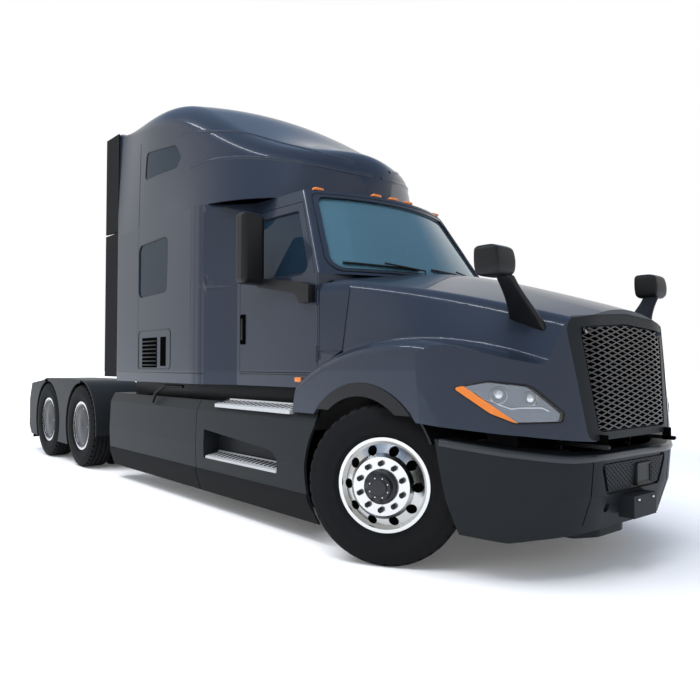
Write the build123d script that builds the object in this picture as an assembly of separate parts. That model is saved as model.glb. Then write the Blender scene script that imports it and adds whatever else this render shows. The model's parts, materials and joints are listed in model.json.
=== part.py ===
from build123d import *
import math
import os

# Sizes are in millimetres. X runs forward from the front axle, Y to the left and Z up from the road.
# At the end the whole is moved along X, so that the middle of its length stands over the origin.

# Wheels and axles
TYRE_R = 508
TYRE_W = 285
FLANGE_R = 298.5
SEAT_R = 286
RIM_W = 210
FLANGE_T = 12
FRONT_Y = 1068
DRIVE_OUTER_Y = 1083
DRIVE_INNER_Y = 740
DRIVE_X = -5250
TANDEM = 1321
KINGPIN_Y = 890
KINGPIN_R = 22
STEER_REST = 30
ARM = 210
SPINDLE_R = 42
HAND_HOLES = 10
HAND_HOLE_R = 31
HAND_CIRCLE_R = 226
RUN = 0.5
SEAT = 0.2
AXLE_X = (DRIVE_X, DRIVE_X - TANDEM)
DUAL_Y = (DRIVE_OUTER_Y + DRIVE_INNER_Y) / 2

# Frame
RAIL_Y = 432
RAIL_TOP = 1000
RAIL_H = 266
RAIL_FLANGE = 89
RAIL_T = 9
RAIL_FRONT = 950
RAIL_REAR = -7260
RAIL_LOW = RAIL_TOP - RAIL_H
WEB_IN = RAIL_Y - RAIL_T

# Cab and sleeper
WALL = 45
FLOOR_LOW = 1090
FLOOR_TOP = 1200
BELT = 1940
SEAM = 2690
CAB_REAR = -1790
CAB_FRONT = -640
CAB_HALF = 1050
CAB_TOP_HALF = 862
PILLAR_X = -690
PILLAR_Y = 1018
PILLAR_TOP_X = -1140
PILLAR_TOP_Y = 815
SCREEN_X = -430
SCREEN_TOP_X = -920
SLEEPER_REAR = -4150
SLEEPER_FULL = -2120
SLEEPER_HALF = 1218
SLEEPER_CORNER = 100
DOOR_REAR = -1745
DOOR_FRONT = -652
DOOR_TOP = 2585
GAP = 5
GLASS = 6

# Nose
NOSE_X = 1245
NOSE_HALF = 1214
NOSE_LEAN = 0.085
HOOD_T = 28
HOOD_REAR = -632
HINGE_X = 1245
HINGE_Z = 790
ARCH_R = 640
LIP_R = 552
BUMPER_T = 34
BUMPER_REAR = 615
TOW_Y = 285
TOW_Z = 418
TOW_R = 30
PLATE_HOLE_Y = 89

# Flanks and rear
FLANK_Y = 1222
FLANK_T = 22
FLANK_LOW = 155
FLANK_TOP = 950
FLANK_SEAM = -2205
FLANK_REAR = -4250
TANK_R = 300
FENDER_R = 560
FENDER_T = 14
FENDER_Y = 1222
PLATE_X = -5780
PLATE_TOP = 1194
KING_R = 25.4


def box(x0, x1, y0, y1, z0, z1):
    return Pos((x0 + x1) / 2, (y0 + y1) / 2, (z0 + z1) / 2) * Box(x1 - x0, y1 - y0, z1 - z0)


def rod_x(r, x0, x1, y, z):
    return Pos((x0 + x1) / 2, y, z) * Rot(0, 90, 0) * Cylinder(r, abs(x1 - x0))


def rod_y(r, y0, y1, x, z):
    return Pos(x, (y0 + y1) / 2, z) * Rot(90, 0, 0) * Cylinder(r, abs(y1 - y0))


def rod_z(r, z0, z1, x, y):
    return Pos(x, y, (z0 + z1) / 2) * Cylinder(r, abs(z1 - z0))


def outline(points, radii=None):
    if radii is None:
        return make_face(Polyline(*points, close=True))
    return make_face(FilletPolyline(*points, radius=radii, close=True))


def prism_xz(points, y0, y1, radii=None):
    return extrude(Plane.XZ.offset(-y1) * outline(points, radii), amount=y1 - y0)


def prism_yz(points, x0, x1, radii=None):
    return extrude(Plane.YZ.offset(x0) * outline(points, radii), amount=x1 - x0)


def prism_xy(points, z0, z1, radii=None):
    return extrude(Plane.XY.offset(z0) * outline(points, radii), amount=z1 - z0)


def flip(shape):
    return mirror(shape, about=Plane.XZ)


def both(shape):
    return [shape, flip(shape)]


def turned(points):
    return make_face(Polyline(*points, close=True))


nodes = {}


def keep(name, *shapes):
    solids = []
    for shape in shapes:
        for item in shape if isinstance(shape, (list, tuple)) else [shape]:
            solids.extend(item.solids())
    nodes[name] = solids


# Tyre: a ring seated between the rim flanges, its middle plane at Y 0.
def tyre():
    half_seat = RIM_W / 2
    half = TYRE_W / 2
    shoulder = (TYRE_R - 26, half - 13)
    tread = (TYRE_R, half - 40)
    seat = (SEAT_R, half_seat)
    bead = (FLANGE_R, half_seat)
    bulge = (FLANGE_R + (TYRE_R - FLANGE_R) * 0.45, half)
    knee = (TYRE_R - 7, half - 23)

    def low(p):
        return (p[0], -p[1])

    edges = [
        Line(seat, bead),
        ThreePointArc(bead, bulge, shoulder),
        ThreePointArc(shoulder, knee, tread),
        Line(tread, low(tread)),
        ThreePointArc(low(tread), low(knee), low(shoulder)),
        ThreePointArc(low(shoulder), low(bulge), low(bead)),
        Line(low(bead), low(seat)),
        Line(low(seat), seat),
    ]
    return revolve(make_face(edges), axis=Axis.Y)


# Rim with its disc toward +Y. The nut face stands out from the rim's middle plane by `face`.
def rim(face, bore):
    f = RIM_W / 2
    e = f + FLANGE_T
    barrel = SEAT_R - 13
    points = [
        (FLANGE_R, -e), (FLANGE_R, -f), (SEAT_R, -f), (SEAT_R, f), (FLANGE_R, f), (FLANGE_R, e),
        (barrel + 4, e), (barrel - 6, e - 16), (205, face - 26), (182, face), (bore, face),
        (bore, face - 24), (188, face - 24), (206, face - 48), (barrel - 8, e - 52), (barrel, e - 70),
        (barrel, -e),
    ]
    wheel = revolve(turned(points), axis=Axis.Y)
    for i in range(HAND_HOLES):
        a = math.radians(i * 360 / HAND_HOLES)
        hole_x = HAND_CIRCLE_R * math.cos(a)
        hole_z = HAND_CIRCLE_R * math.sin(a)
        hole = rod_y(HAND_HOLE_R, face - 130, face + 60, hole_x, hole_z)
        wheel = wheel - hole
    return wheel


FACE = 165
HUB_BORE = 108
hub_points = [
    (0, FACE + 62), (46, FACE + 62), (52, FACE + 54), (72, FACE + 50), (84, FACE + 30), (94, FACE + 26),
    (HUB_BORE, FACE + 14), (HUB_BORE, FACE - 24), (HUB_BORE + 62, FACE - 24), (HUB_BORE + 62, FACE - 40),
    (120, FACE - 44), (112, -70), (SPINDLE_R + RUN, -70), (SPINDLE_R + RUN, FACE + 8), (0, FACE + 8),
]
front_wheel = rim(FACE, HUB_BORE) + revolve(turned(hub_points), axis=Axis.Y)

# Twin drive wheel, its discs back to back at Y 0 and its hub on the axle spindle.
# The outer dish is closed by a cover.
OUT = DRIVE_OUTER_Y - DUAL_Y
INNER_RIM = Pos(0, -OUT, 0) * rim(OUT, HUB_BORE)
OUTER_RIM = Pos(0, OUT, 0) * flip(rim(OUT, HUB_BORE))
COVER_Y = OUT + RIM_W / 2 - 12
axle_hub_points = [
    (0, 130), (88, 130), (102, 116), (HUB_BORE, 90),
    (HUB_BORE, 24), (HUB_BORE + 62, 24), (HUB_BORE + 62, -24),
    (HUB_BORE, -24), (120, -60), (120, -150),
    (SPINDLE_R + 16 + RUN, -150), (SPINDLE_R + 16 + RUN, 104), (0, 104),
]
cover_points = [
    (0, COVER_Y + 34), (60, COVER_Y + 32), (180, COVER_Y + 20),
    (SEAT_R - 13, COVER_Y + 4), (SEAT_R - 13, COVER_Y - 2),
    (178, COVER_Y + 14), (60, COVER_Y + 26), (0, COVER_Y + 28),
]
drive_wheel = INNER_RIM + OUTER_RIM + revolve(turned(axle_hub_points), axis=Axis.Y)
drive_wheel = drive_wheel + revolve(turned(cover_points), axis=Axis.Y)
one_tyre = tyre()


def steered(shape, side):
    pin = (0, side * KINGPIN_Y, 0)
    return Pos(*pin) * Rot(0, 0, STEER_REST) * Pos(0, -side * KINGPIN_Y, 0) * shape


# Knuckle of the left wheel, straight ahead: yoke, spindle, brake plate, steering arm and its ball pin.
LUG_Z = 66
LUG_T = 58
TIE_Z = TYRE_R - 163
ARM_Z = TYRE_R - LUG_Z - LUG_T
yoke = box(-58, 58, KINGPIN_Y + 62, KINGPIN_Y + 92, TYRE_R - LUG_Z - LUG_T, TYRE_R + LUG_Z + LUG_T)
upper_lug = box(-46, 46, KINGPIN_Y - 46, KINGPIN_Y + 62, TYRE_R + LUG_Z, TYRE_R + LUG_Z + LUG_T)
lower_lug = box(-46, 46, KINGPIN_Y - 46, KINGPIN_Y + 62, TYRE_R - LUG_Z - LUG_T, TYRE_R - LUG_Z)
spindle = rod_y(SPINDLE_R, KINGPIN_Y + 92, FRONT_Y + FACE, 0, TYRE_R)
brake_plate = rod_y(205, KINGPIN_Y + 66, KINGPIN_Y + 76, 0, TYRE_R)
arm = box(-ARM, -40, KINGPIN_Y - 18, KINGPIN_Y + 18, ARM_Z, ARM_Z + 34)
arm = arm + rod_z(26, ARM_Z, ARM_Z + 34, -ARM, KINGPIN_Y)
ball_pin = rod_z(12, TIE_Z - 26, ARM_Z, -ARM, KINGPIN_Y)
knuckle = yoke + upper_lug + lower_lug + spindle + brake_plate + arm + ball_pin
knuckle = knuckle - rod_z(KINGPIN_R + RUN, 0, 2 * TYRE_R, 0, KINGPIN_Y)

keep("knuckle_left", steered(knuckle, 1))
keep("knuckle_right", steered(flip(knuckle), -1))
for name, side in (("left", 1), ("right", -1)):
    wheel = front_wheel if side > 0 else flip(front_wheel)
    place = Pos(0, side * FRONT_Y, TYRE_R)
    keep("front_tyre_" + name, steered(place * one_tyre, side))
    keep("front_wheel_" + name, steered(place * wheel, side))
    for number, x in enumerate(AXLE_X, 1):
        twin = drive_wheel if side > 0 else flip(drive_wheel)
        keep("drive_wheel_%d_%s" % (number, name), Pos(x, side * DUAL_Y, TYRE_R) * twin)
        pair = [Pos(x, side * y, TYRE_R) * one_tyre for y in (DRIVE_INNER_Y, DRIVE_OUTER_Y)]
        keep("drive_tyres_%d_%s" % (number, name), pair)

# Tie rod, on the pins of both arms.
swing = math.radians(STEER_REST)
tie_x = -ARM * math.cos(swing)
tie_dy = -ARM * math.sin(swing)
tie = rod_y(20, tie_dy - KINGPIN_Y, tie_dy + KINGPIN_Y, tie_x, TIE_Z)
for side in (1, -1):
    tie = tie + rod_z(27, TIE_Z - 24, TIE_Z + 24, tie_x, tie_dy + side * KINGPIN_Y)
for side in (1, -1):
    tie = tie - rod_z(12 + RUN, TIE_Z - 60, TIE_Z + 60, tie_x, tie_dy + side * KINGPIN_Y)
keep("tie_rod", tie)

# Front axle beam with its eyes and kingpins.
beam_points = [
    (-KINGPIN_Y, TYRE_R - 52), (-690, TYRE_R - 52),
    (-560, TYRE_R - 106), (560, TYRE_R - 106), (690, TYRE_R - 52),
    (KINGPIN_Y, TYRE_R - 52), (KINGPIN_Y, TYRE_R + 52),
    (660, TYRE_R + 52), (530, TYRE_R + 2), (-530, TYRE_R + 2),
    (-660, TYRE_R + 52), (-KINGPIN_Y, TYRE_R + 52),
]
PAD_Z = TYRE_R + 2
axle = prism_yz(beam_points, -45, 45)
for side in (1, -1):
    axle = axle + rod_z(45, TYRE_R - 60, TYRE_R + 60, 0, side * KINGPIN_Y)
    axle = axle + rod_z(KINGPIN_R, ARM_Z - 6, TYRE_R + LUG_Z + LUG_T + 6, 0, side * KINGPIN_Y)
keep("front_axle", axle)

# Leaf springs under the rails, with the brackets that carry their ends.
SPRING_Y0 = RAIL_Y - RAIL_FLANGE
spring_edges = [
    ThreePointArc((-800, 690), (0, PAD_Z), (800, 690)),
    Line((800, 690), (800, 715)),
    ThreePointArc((800, 715), (0, PAD_Z + 75), (-800, 715)),
    Line((-800, 715), (-800, 690)),
]
spring = extrude(Plane.XZ.offset(-RAIL_Y) * make_face(spring_edges), amount=RAIL_FLANGE)
for x in (-770, 770):
    spring = spring + box(x - 60, x + 60, SPRING_Y0, RAIL_Y, 660, RAIL_LOW)
keep("front_springs", both(spring))

# Frame: two channel rails joined by crossmembers.
rail_points = [
    (SPRING_Y0, RAIL_LOW), (RAIL_Y, RAIL_LOW), (RAIL_Y, RAIL_TOP), (SPRING_Y0, RAIL_TOP),
    (SPRING_Y0, RAIL_TOP - RAIL_T), (WEB_IN, RAIL_TOP - RAIL_T), (WEB_IN, RAIL_LOW + RAIL_T),
    (SPRING_Y0, RAIL_LOW + RAIL_T),
]
rail = prism_yz(rail_points, RAIL_REAR, RAIL_FRONT)
hinge_arm = box(RAIL_FRONT, HINGE_X, RAIL_Y - 17, RAIL_Y, HINGE_Z - 12, HINGE_Z + 12)
hinge_arm = hinge_arm + rod_y(12, RAIL_Y - 17, RAIL_Y, HINGE_X, HINGE_Z)
hinge_arm = hinge_arm - rod_y(6 + RUN, RAIL_Y - 40, RAIL_Y + 40, HINGE_X, HINGE_Z)
frame_side = rail + hinge_arm
for x in (-800, -2350, -3850):
    frame_side = frame_side + box(x - 60, x + 60, SPRING_Y0, RAIL_Y, RAIL_TOP, FLOOR_LOW)
cross_x = (840, -2180, -3450, -4650, PLATE_X - 60, RAIL_REAR + 40)
keep("crossmembers", [box(x - 40, x + 40, -WEB_IN, WEB_IN, 820, 960) for x in cross_x])

# Engine, gearbox, shafts and the cooling pack.
ENGINE_REAR = -960
ENGINE_HALF = 320
engine_points = [
    (340, 690), (340, 1560), (-560, 1560), (-560, 1060),
    (ENGINE_REAR, 1060), (ENGINE_REAR, 620), (-760, 620),
    (-700, 560), (120, 560),
]
engine = prism_xz(engine_points, -ENGINE_HALF, ENGINE_HALF)
engine = engine + box(-180, -20, -WEB_IN, WEB_IN, 840, 950)
keep("engine", engine)
BOX_Z = 800
gearbox = rod_x(215, -1500, ENGINE_REAR, 0, BOX_Z) + rod_x(150, -1780, -1500, 0, BOX_Z - 20)
keep("gearbox", gearbox + rod_x(70, -1840, -1780, 0, BOX_Z - 40))
PINION_X = DRIVE_X + 330
PINION_Z = TYRE_R + 40
shaft_run = math.hypot(PINION_X + 40 + 1880, BOX_Z - 40 - PINION_Z)
shaft_tilt = math.degrees(math.atan2(BOX_Z - 40 - PINION_Z, -1880 - PINION_X - 40))
shaft_mid = Pos((PINION_X + 40 - 1880) / 2, 0, (BOX_Z - 40 + PINION_Z) / 2)
shaft = shaft_mid * Rot(0, 90 - shaft_tilt, 0) * Cylinder(52, shaft_run)
shaft = shaft + rod_x(60, -1890, -1840, 0, BOX_Z - 40) + rod_x(60, PINION_X, PINION_X + 50, 0, PINION_Z)
mid_shaft = rod_x(48, DRIVE_X - TANDEM + 330, DRIVE_X - 240, 0, PINION_Z)
keep("driveshafts", shaft, mid_shaft)
RADIATOR_X = 540
core_low = box(RADIATOR_X, RADIATOR_X + 130, -SPRING_Y0 + 8, SPRING_Y0 - 8, 770, 1100)
keep("radiator", core_low + box(RADIATOR_X, RADIATOR_X + 130, -RAIL_Y, RAIL_Y, RAIL_TOP, 1500))

# Drive axles: housing, differential and spindles.
axles = []
for x in AXLE_X:
    tube = rod_y(68, -DUAL_Y + 160, DUAL_Y - 160, x, TYRE_R)
    for side in (1, -1):
        tube = tube + rod_y(SPINDLE_R + 16, side * (DUAL_Y - 170), side * (DUAL_Y + 96), x, TYRE_R)
        tube = tube + rod_y(200, side * (DUAL_Y - 168), side * (DUAL_Y - 178), x, TYRE_R)
    bowl = Pos(x, 0, TYRE_R) * Rot(90, 0, 0) * Cylinder(205, 190)
    nose = rod_x(95, x + 150, x + 330, 0, PINION_Z)
    tail = rod_x(75, x - 240, x - 150, 0, PINION_Z)
    axles.append(tube + bowl + nose + tail)
keep("drive_axles", axles)

# Rear suspension: hanger, trailing beam and air spring at each wheel.
SUSP_Y0 = RAIL_Y - 96
SUSP_Y1 = RAIL_Y - 6
springs = []
for x in AXLE_X:
    hanger = box(x + 400, x + 560, SUSP_Y0, SUSP_Y1, 500, RAIL_LOW)
    beam = box(x - 330, x + 420, SUSP_Y0, SUSP_Y1, TYRE_R + 68, TYRE_R + 118)
    air = rod_z(118, TYRE_R + 118, RAIL_LOW, x - 250, (SUSP_Y0 + SUSP_Y1) / 2)
    springs.extend(both(hanger + beam + air))
keep("rear_suspension", springs)


# Cab: a box up to the belt, then sides leaning in and a raked, curved front.
def cab_plan(t, pillar_x, pillar_y, rear_y, front_x):
    p = (pillar_x - t, pillar_y - t)
    edges = [
        Line((CAB_REAR, -rear_y + t), (p[0], -p[1])),
        ThreePointArc((p[0], -p[1]), (front_x - t, 0), p),
        Line(p, (CAB_REAR, rear_y - t)),
        Line((CAB_REAR, rear_y - t), (CAB_REAR, -rear_y + t)),
    ]
    face = make_face(edges)
    corners = [v for v in face.vertices() if abs(v.X - p[0]) < 1]
    return fillet(corners, 45)


def cab_solid(t, low):
    lower = box(CAB_REAR, CAB_FRONT - t, -CAB_HALF + t, CAB_HALF - t, low, BELT)
    base = Plane.XY.offset(BELT) * cab_plan(t, PILLAR_X, PILLAR_Y, CAB_HALF, SCREEN_X)
    roof = Plane.XY.offset(SEAM - t) * cab_plan(t, PILLAR_TOP_X, PILLAR_TOP_Y, CAB_TOP_HALF, SCREEN_TOP_X)
    return lower + loft([base, roof], ruled=True)


cab_outer = cab_solid(0, FLOOR_LOW)
cab_shell = cab_outer - cab_solid(WALL, FLOOR_TOP)

SLOPE = (PILLAR_X - PILLAR_TOP_X) / (SEAM - BELT)


def pillar_line(z, behind):
    return PILLAR_X - behind - SLOPE * (z - BELT)


def door_lower(g):
    points = [
        (DOOR_REAR + g, FLOOR_TOP + g), (DOOR_FRONT - g, FLOOR_TOP + g), (DOOR_FRONT - g, BELT + 1),
        (DOOR_REAR + g, BELT + 1),
    ]
    return prism_xz(points, CAB_HALF - WALL - 6, CAB_HALF + 90)


def door_upper(g):
    points = [
        (DOOR_REAR + g, BELT), (pillar_line(BELT, 40) - g, BELT),
        (pillar_line(DOOR_TOP - g, 40) - g, DOOR_TOP - g),
        (DOOR_REAR + g, DOOR_TOP - g),
    ]
    return prism_xz(points, CAB_TOP_HALF - 170, CAB_HALF + 90)


def door_window(g):
    points = [
        (DOOR_REAR + 95 - g, BELT + 30 - g), (pillar_line(BELT + 20, 110) + g, BELT + 20 - g),
        (pillar_line(DOOR_TOP - 75, 110) + g, DOOR_TOP - 75 + g), (DOOR_REAR + 95 - g, DOOR_TOP - 75 + g),
    ]
    return prism_xz(points, CAB_TOP_HALF - 170, CAB_HALF + 90, radii=[60, 45, 45, 60])


door_hole = door_lower(0) + door_upper(0)
door_plug = door_lower(GAP) + door_upper(GAP)
PIN_Y = CAB_HALF - 2
PIN_X = DOOR_FRONT - GAP
door = (cab_shell & door_plug) - door_window(0)
hinge_z = (1340, 1760)
for z in hinge_z:
    door = door - box(PIN_X - 18, PIN_X + 20, PIN_Y - 38, PIN_Y + 20, z - 56, z + 56)
    door = door + rod_z(9, z - 18, z + 18, PIN_X, PIN_Y)
    door = door + box(PIN_X - 30, PIN_X - 4, PIN_Y - 22, PIN_Y - 2, z - 18, z + 18)
    door = door - rod_z(4 + RUN, z - 60, z + 60, PIN_X, PIN_Y)
glass_band = cab_solid(14, FLOOR_TOP - 20) - cab_solid(14 + GLASS, FLOOR_TOP - 10)
door_glass = glass_band & door_window(0)
keep("door_left", door)
keep("door_right", flip(door))
keep("door_glass_left", door_glass)
keep("door_glass_right", flip(door_glass))

SCREEN_LOW = BELT + 45
SCREEN_TOP = SEAM - 62


def screen_prism(g):
    points = [
        (-905 - g, SCREEN_LOW - g), (905 + g, SCREEN_LOW - g),
        (748 + g, SCREEN_TOP + g), (-748 - g, SCREEN_TOP + g),
    ]
    return prism_yz(points, -1400, -300, radii=[90, 90, 70, 70])


cab = cab_shell - door_hole - flip(door_hole) - screen_prism(0)
for z in hinge_z:
    pocket = box(PIN_X - 20, PIN_X + 14, PIN_Y - 16, PIN_Y + 16, z - 21, z + 21)
    cab = cab - pocket - flip(pocket)
    for dz in (-36, 36):
        leaf = rod_z(9, z + dz - 14, z + dz + 14, PIN_X, PIN_Y)
        leaf = leaf + box(PIN_X, CAB_FRONT - 4, PIN_Y - 30, PIN_Y - 4, z + dz - 14, z + dz + 14)
        cab = cab + leaf + flip(leaf)
    pin = rod_z(4, z - 50, z + 50, PIN_X, PIN_Y)
    cab = cab + pin + flip(pin)
keep("cab_shell", cab)
keep("windscreen", glass_band & screen_prism(0))


# Sleeper: full width behind, drawn in to the cab's width at its front edge, open to the cab and the roof.
def sleeper_solid(t, low, high):
    h = SLEEPER_HALF - t
    r = SLEEPER_CORNER - t
    points = [(SLEEPER_REAR + t, -h), (SLEEPER_FULL, -h), (SLEEPER_FULL, h), (SLEEPER_REAR + t, h)]
    main = prism_xy(points, low, high, radii=[r, 0, 0, r])
    wide = [(-h, low), (h, low), (h, BELT), (h, high), (-h, high), (-h, BELT)]
    c = CAB_HALF - t
    d = CAB_TOP_HALF - t
    narrow = [(-c, low), (c, low), (c, BELT), (d, high), (-d, high), (-c, BELT)]
    ends = [Plane.YZ.offset(SLEEPER_FULL) * outline(wide), Plane.YZ.offset(CAB_REAR) * outline(narrow)]
    taper = loft(ends, ruled=True)
    return main + taper


sleeper = sleeper_solid(0, FLOOR_LOW, SEAM) - sleeper_solid(WALL, FLOOR_TOP, SEAM)
low_window = [(-3490, 1950), (-2820, 1962), (-2800, 2515), (-3490, 2500)]


def low_window_prism(g):
    (x0, z0), (x1, z1), (x2, z2), (x3, z3) = low_window
    points = [(x0 - g, z0 - g), (x1 + g, z1 - g), (x2 + g, z2 + g), (x3 - g, z3 + g)]
    return prism_xz(points, -1400, 1400, radii=[80, 80, 80, 80])


keep("sleeper_shell", sleeper - low_window_prism(0))
pane_band = sleeper_solid(12, FLOOR_LOW, SEAM) - sleeper_solid(12 + GLASS, FLOOR_LOW, SEAM)

# Roof fairing: cross sections from the rear edge to the nose above the windscreen.
ROOF_T = 26
roof_sections = [
    # x, half width at the seam, half width at the shoulder, shoulder z, crown z, shoulder radius
    (SLEEPER_REAR, 1216, 1202, 3870, 3890, 70),
    (-3450, 1218, 1198, 3840, 3895, 160),
    (-2800, 1216, 1168, 3790, 3935, 280),
    (-2120, 1180, 1050, 3440, 3555, 250),
    (-1560, 900, 770, 3140, 3265, 210),
    (-1280, 520, 420, 3040, 3165, 140),
    (-1110, 180, 130, 2740, 2780, 20),
]


def roof_solid(t):
    faces = []
    for number, (x, seam_y, top_y, top_z, crown, r) in enumerate(roof_sections):
        station = x
        if number == 0:
            station = x + t
        if number == len(roof_sections) - 1:
            station = x - 1.6 * t
        low = SEAM
        a = (seam_y - t, low)
        b = (top_y - t, top_z - t)
        c = (0, crown - t)
        crown_arc = ThreePointArc((-b[0], b[1]), c, b)
        left_side = Line(b, a)
        right_side = Line((-a[0], low), (-b[0], b[1]))
        face = make_face([right_side, crown_arc, left_side, Line(a, (-a[0], low))])
        shoulders = [corner for corner in face.vertices() if corner.Y > low + 5]
        faces.append(Plane.YZ.offset(station) * fillet(shoulders, radius=r))
    return loft(faces)


roof_plan = [
    (SLEEPER_REAR, -SLEEPER_HALF), (-900, -SLEEPER_HALF), (-900, SLEEPER_HALF), (SLEEPER_REAR, SLEEPER_HALF),
]
roof_trim = prism_xy(roof_plan, SEAM, SEAM + 1500, radii=[SLEEPER_CORNER, 0, 0, SLEEPER_CORNER])
roof_outer = roof_solid(0) & roof_trim
roof = roof_outer - roof_solid(ROOF_T)
top_window = [(-3370, 3165), (-2690, 3145), (-2615, 3240), (-2730, 3385), (-3345, 3450)]


def top_window_prism(g):
    cx = sum(p[0] for p in top_window) / len(top_window)
    cz = sum(p[1] for p in top_window) / len(top_window)
    grown = [(x + (g if x > cx else -g), z + (g if z > cz else -g)) for x, z in top_window]
    return prism_xz(grown, -1400, 1400, radii=[45, 45, 45, 60, 60])


keep("roof_fairing", roof - top_window_prism(0))
top_band = roof_solid(8) - roof_solid(8 + GLASS)
keep("sleeper_windows", pane_band & low_window_prism(0), top_band & top_window_prism(0))

# Marker lamps on the front edge of the cab roof.
lamps = []
for y in (-700, -190, 0, 190, 700):
    arc_x = SCREEN_TOP_X - (SCREEN_TOP_X - PILLAR_TOP_X) * (y / PILLAR_TOP_Y) ** 2
    lamps.append(box(arc_x - 54, arc_x - 6, y - 42, y + 42, SEAM, SEAM + 26))
keep("roof_lamps", lamps)

# Interior: dashboard, seats and bunk.
dash_points = [
    (CAB_FRONT - WALL, 1480), (CAB_FRONT - WALL, BELT - 20),
    (-760, BELT - 20), (-960, 1840), (-960, 1640), (-860, 1480),
]
keep("dashboard", prism_xz(dash_points, -CAB_HALF + 90, CAB_HALF - 90))
seat_points = [
    (-1180, FLOOR_TOP), (-1180, 1660), (-1200, 1700),
    (-1560, 1680), (-1700, 2300), (-1790, 2300), (-1690, 1600),
    (-1620, FLOOR_TOP),
]
keep("seats", both(prism_xz(seat_points, 260, 760)))
bunk = box(SLEEPER_REAR, -3100, -SLEEPER_HALF, SLEEPER_HALF, FLOOR_TOP, 1780)
keep("bunk", bunk & sleeper_solid(WALL, FLOOR_TOP, SEAM))


# Nose outline in plan, leaning back as it rises, used for the hood, the grille and the bumper.
def nose_plan(grow, lean, half=NOSE_HALF):
    front = NOSE_X + grow - lean
    points = [
        (-1500, -half), (front - 655, -half), (front - 262, -half * 0.757 - grow * 0.5), (front - 42, -500),
        (front - 42, 500), (front - 262, half * 0.757 + grow * 0.5), (front - 655, half), (-1500, half),
    ]
    radii = [0, 330, 700, 700, 700, 700, 330, 0]
    return make_face(FilletPolyline(*points, radius=radii, close=True))


def nose_solid(grow, low, high):
    lean_low = NOSE_LEAN * (low - HINGE_Z)
    lean_high = NOSE_LEAN * (high - HINGE_Z)
    low_face = Plane.XY.offset(low) * nose_plan(grow, lean_low)
    high_face = Plane.XY.offset(high) * nose_plan(grow, lean_high)
    faces = [low_face, high_face]
    return loft(faces, ruled=True)


hood_sections = [
    # x, fender y, fender z, valley y, valley z, shoulder y, shoulder z, crown z
    (-820, 1214, 1060, 1045, 1050, 992, 1915, 2045),
    (-450, 1214, 1310, 1040, 1270, 955, 1868, 2012),
    (0, 1214, 1425, 1000, 1375, 878, 1790, 1952),
    (400, 1212, 1430, 915, 1390, 778, 1708, 1855),
    (800, 1205, 1340, 800, 1330, 668, 1610, 1742),
    (1320, 1190, 1150, 650, 1180, 525, 1475, 1555),
]


def hood_loft(t):
    faces = []
    for x, fender_y, fender_z, valley_y, valley_z, shoulder_y, shoulder_z, crown in hood_sections:
        right = [
            (-fender_y + t, 700), (-fender_y + t, fender_z - t), (-valley_y + t, valley_z - t),
            (-shoulder_y + t, shoulder_z - t), (0, crown - t),
        ]
        left = [(-y, z) for y, z in reversed(right[:-1])]
        path = FilletPolyline(*right, *left, radius=[95 - t, 70, 105 - t, 1400, 105 - t, 70, 95 - t])
        faces.append(Plane.YZ.offset(x) * make_face([path, Line(left[-1], right[0])]))
    return loft(faces)


hood_low = [(-2000, 200), (1500, 200), (1500, 812), (1235, 812), (1000, 862), (520, 922), (-2000, 922)]
hood_form = hood_loft(0)
hood_outer = hood_form & nose_solid(0, 700, 2200)
hood_inner = hood_loft(HOOD_T) & nose_solid(-HOOD_T, 690, 2210)
below = prism_xz(hood_low, -1400, 1400)
cab_keepout = box(-2000, HOOD_REAR, -CAB_HALF - 14, CAB_HALF + 14, 600, 2300)
screen_keepout = loft(
    [
        Plane.XY.offset(1700) * cab_plan(-12, PILLAR_X + 144, PILLAR_Y, CAB_HALF, SCREEN_X + 144),
        Plane.XY.offset(2200) * cab_plan(-12, PILLAR_X - 156, PILLAR_Y - 62, CAB_HALF, SCREEN_X - 156),
    ],
    ruled=True,
)
fender_end = [(-2000, 0), (-740, 0), (-740, 930), (-640, 1400), (-640, 3000), (-2000, 3000)]
arch = rod_y(ARCH_R, -1500, 1500, 0, TYRE_R)
grille_points = [(-505, 826), (505, 826), (606, 1545), (0, 1585), (-606, 1545)]
grille_radii = [60, 60, 90, 600, 90]


def grille_prism(g):
    grown = [(y + g * (y > 0) - g * (y < 0), z + g * (z > 1200) - g * (z < 1200)) for y, z in grille_points]
    return prism_yz(grown, 900, 1500, radii=grille_radii)


# Headlamp outline in a plane that faces the corner of the nose.
lamp_plane = Plane(origin=(930, -900, 1070), x_dir=(0.755, 0.656, 0), z_dir=(0.656, -0.755, 0))
lamp_uv = [(-330, 62), (-130, 98), (110, 74), (302, -82), (290, -132), (20, -136), (-120, -82)]


def lamp_prism(g):
    points = [(u * (1 + g / 300), v * (1 + g / 110)) for u, v in lamp_uv]
    face = make_face(FilletPolyline(*points, radius=[12, 120, 150, 20, 20, 120, 150], close=True))
    return extrude(lamp_plane.offset(-110) * face, amount=500)


hood = hood_outer - hood_inner - below - cab_keepout - screen_keepout - prism_xz(fender_end, -1400, 1400)
hood = hood - arch - grille_prism(0) - box(900, 1500, -440, 440, 700, 850)
hood = hood - lamp_prism(3) - flip(lamp_prism(3))
LUG_Y0 = RAIL_Y - 39
LUG_Y1 = RAIL_Y - 22
hood_lug = box(HINGE_X - 60, HINGE_X - 14, LUG_Y0, LUG_Y1, HINGE_Z - 10, 850)
hood_lug = hood_lug + box(HINGE_X - 60, HINGE_X, LUG_Y0, LUG_Y1, HINGE_Z - 10, HINGE_Z + 10)
hood_lug = hood_lug + rod_y(10, LUG_Y0, LUG_Y1, HINGE_X, HINGE_Z)
hood_lug = hood_lug + rod_y(6, LUG_Y1, RAIL_Y, HINGE_X, HINGE_Z)
keep("hood", hood)
lamp = (hood_outer & lamp_prism(0)) - below
keep("headlamps", both(lamp))

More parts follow.
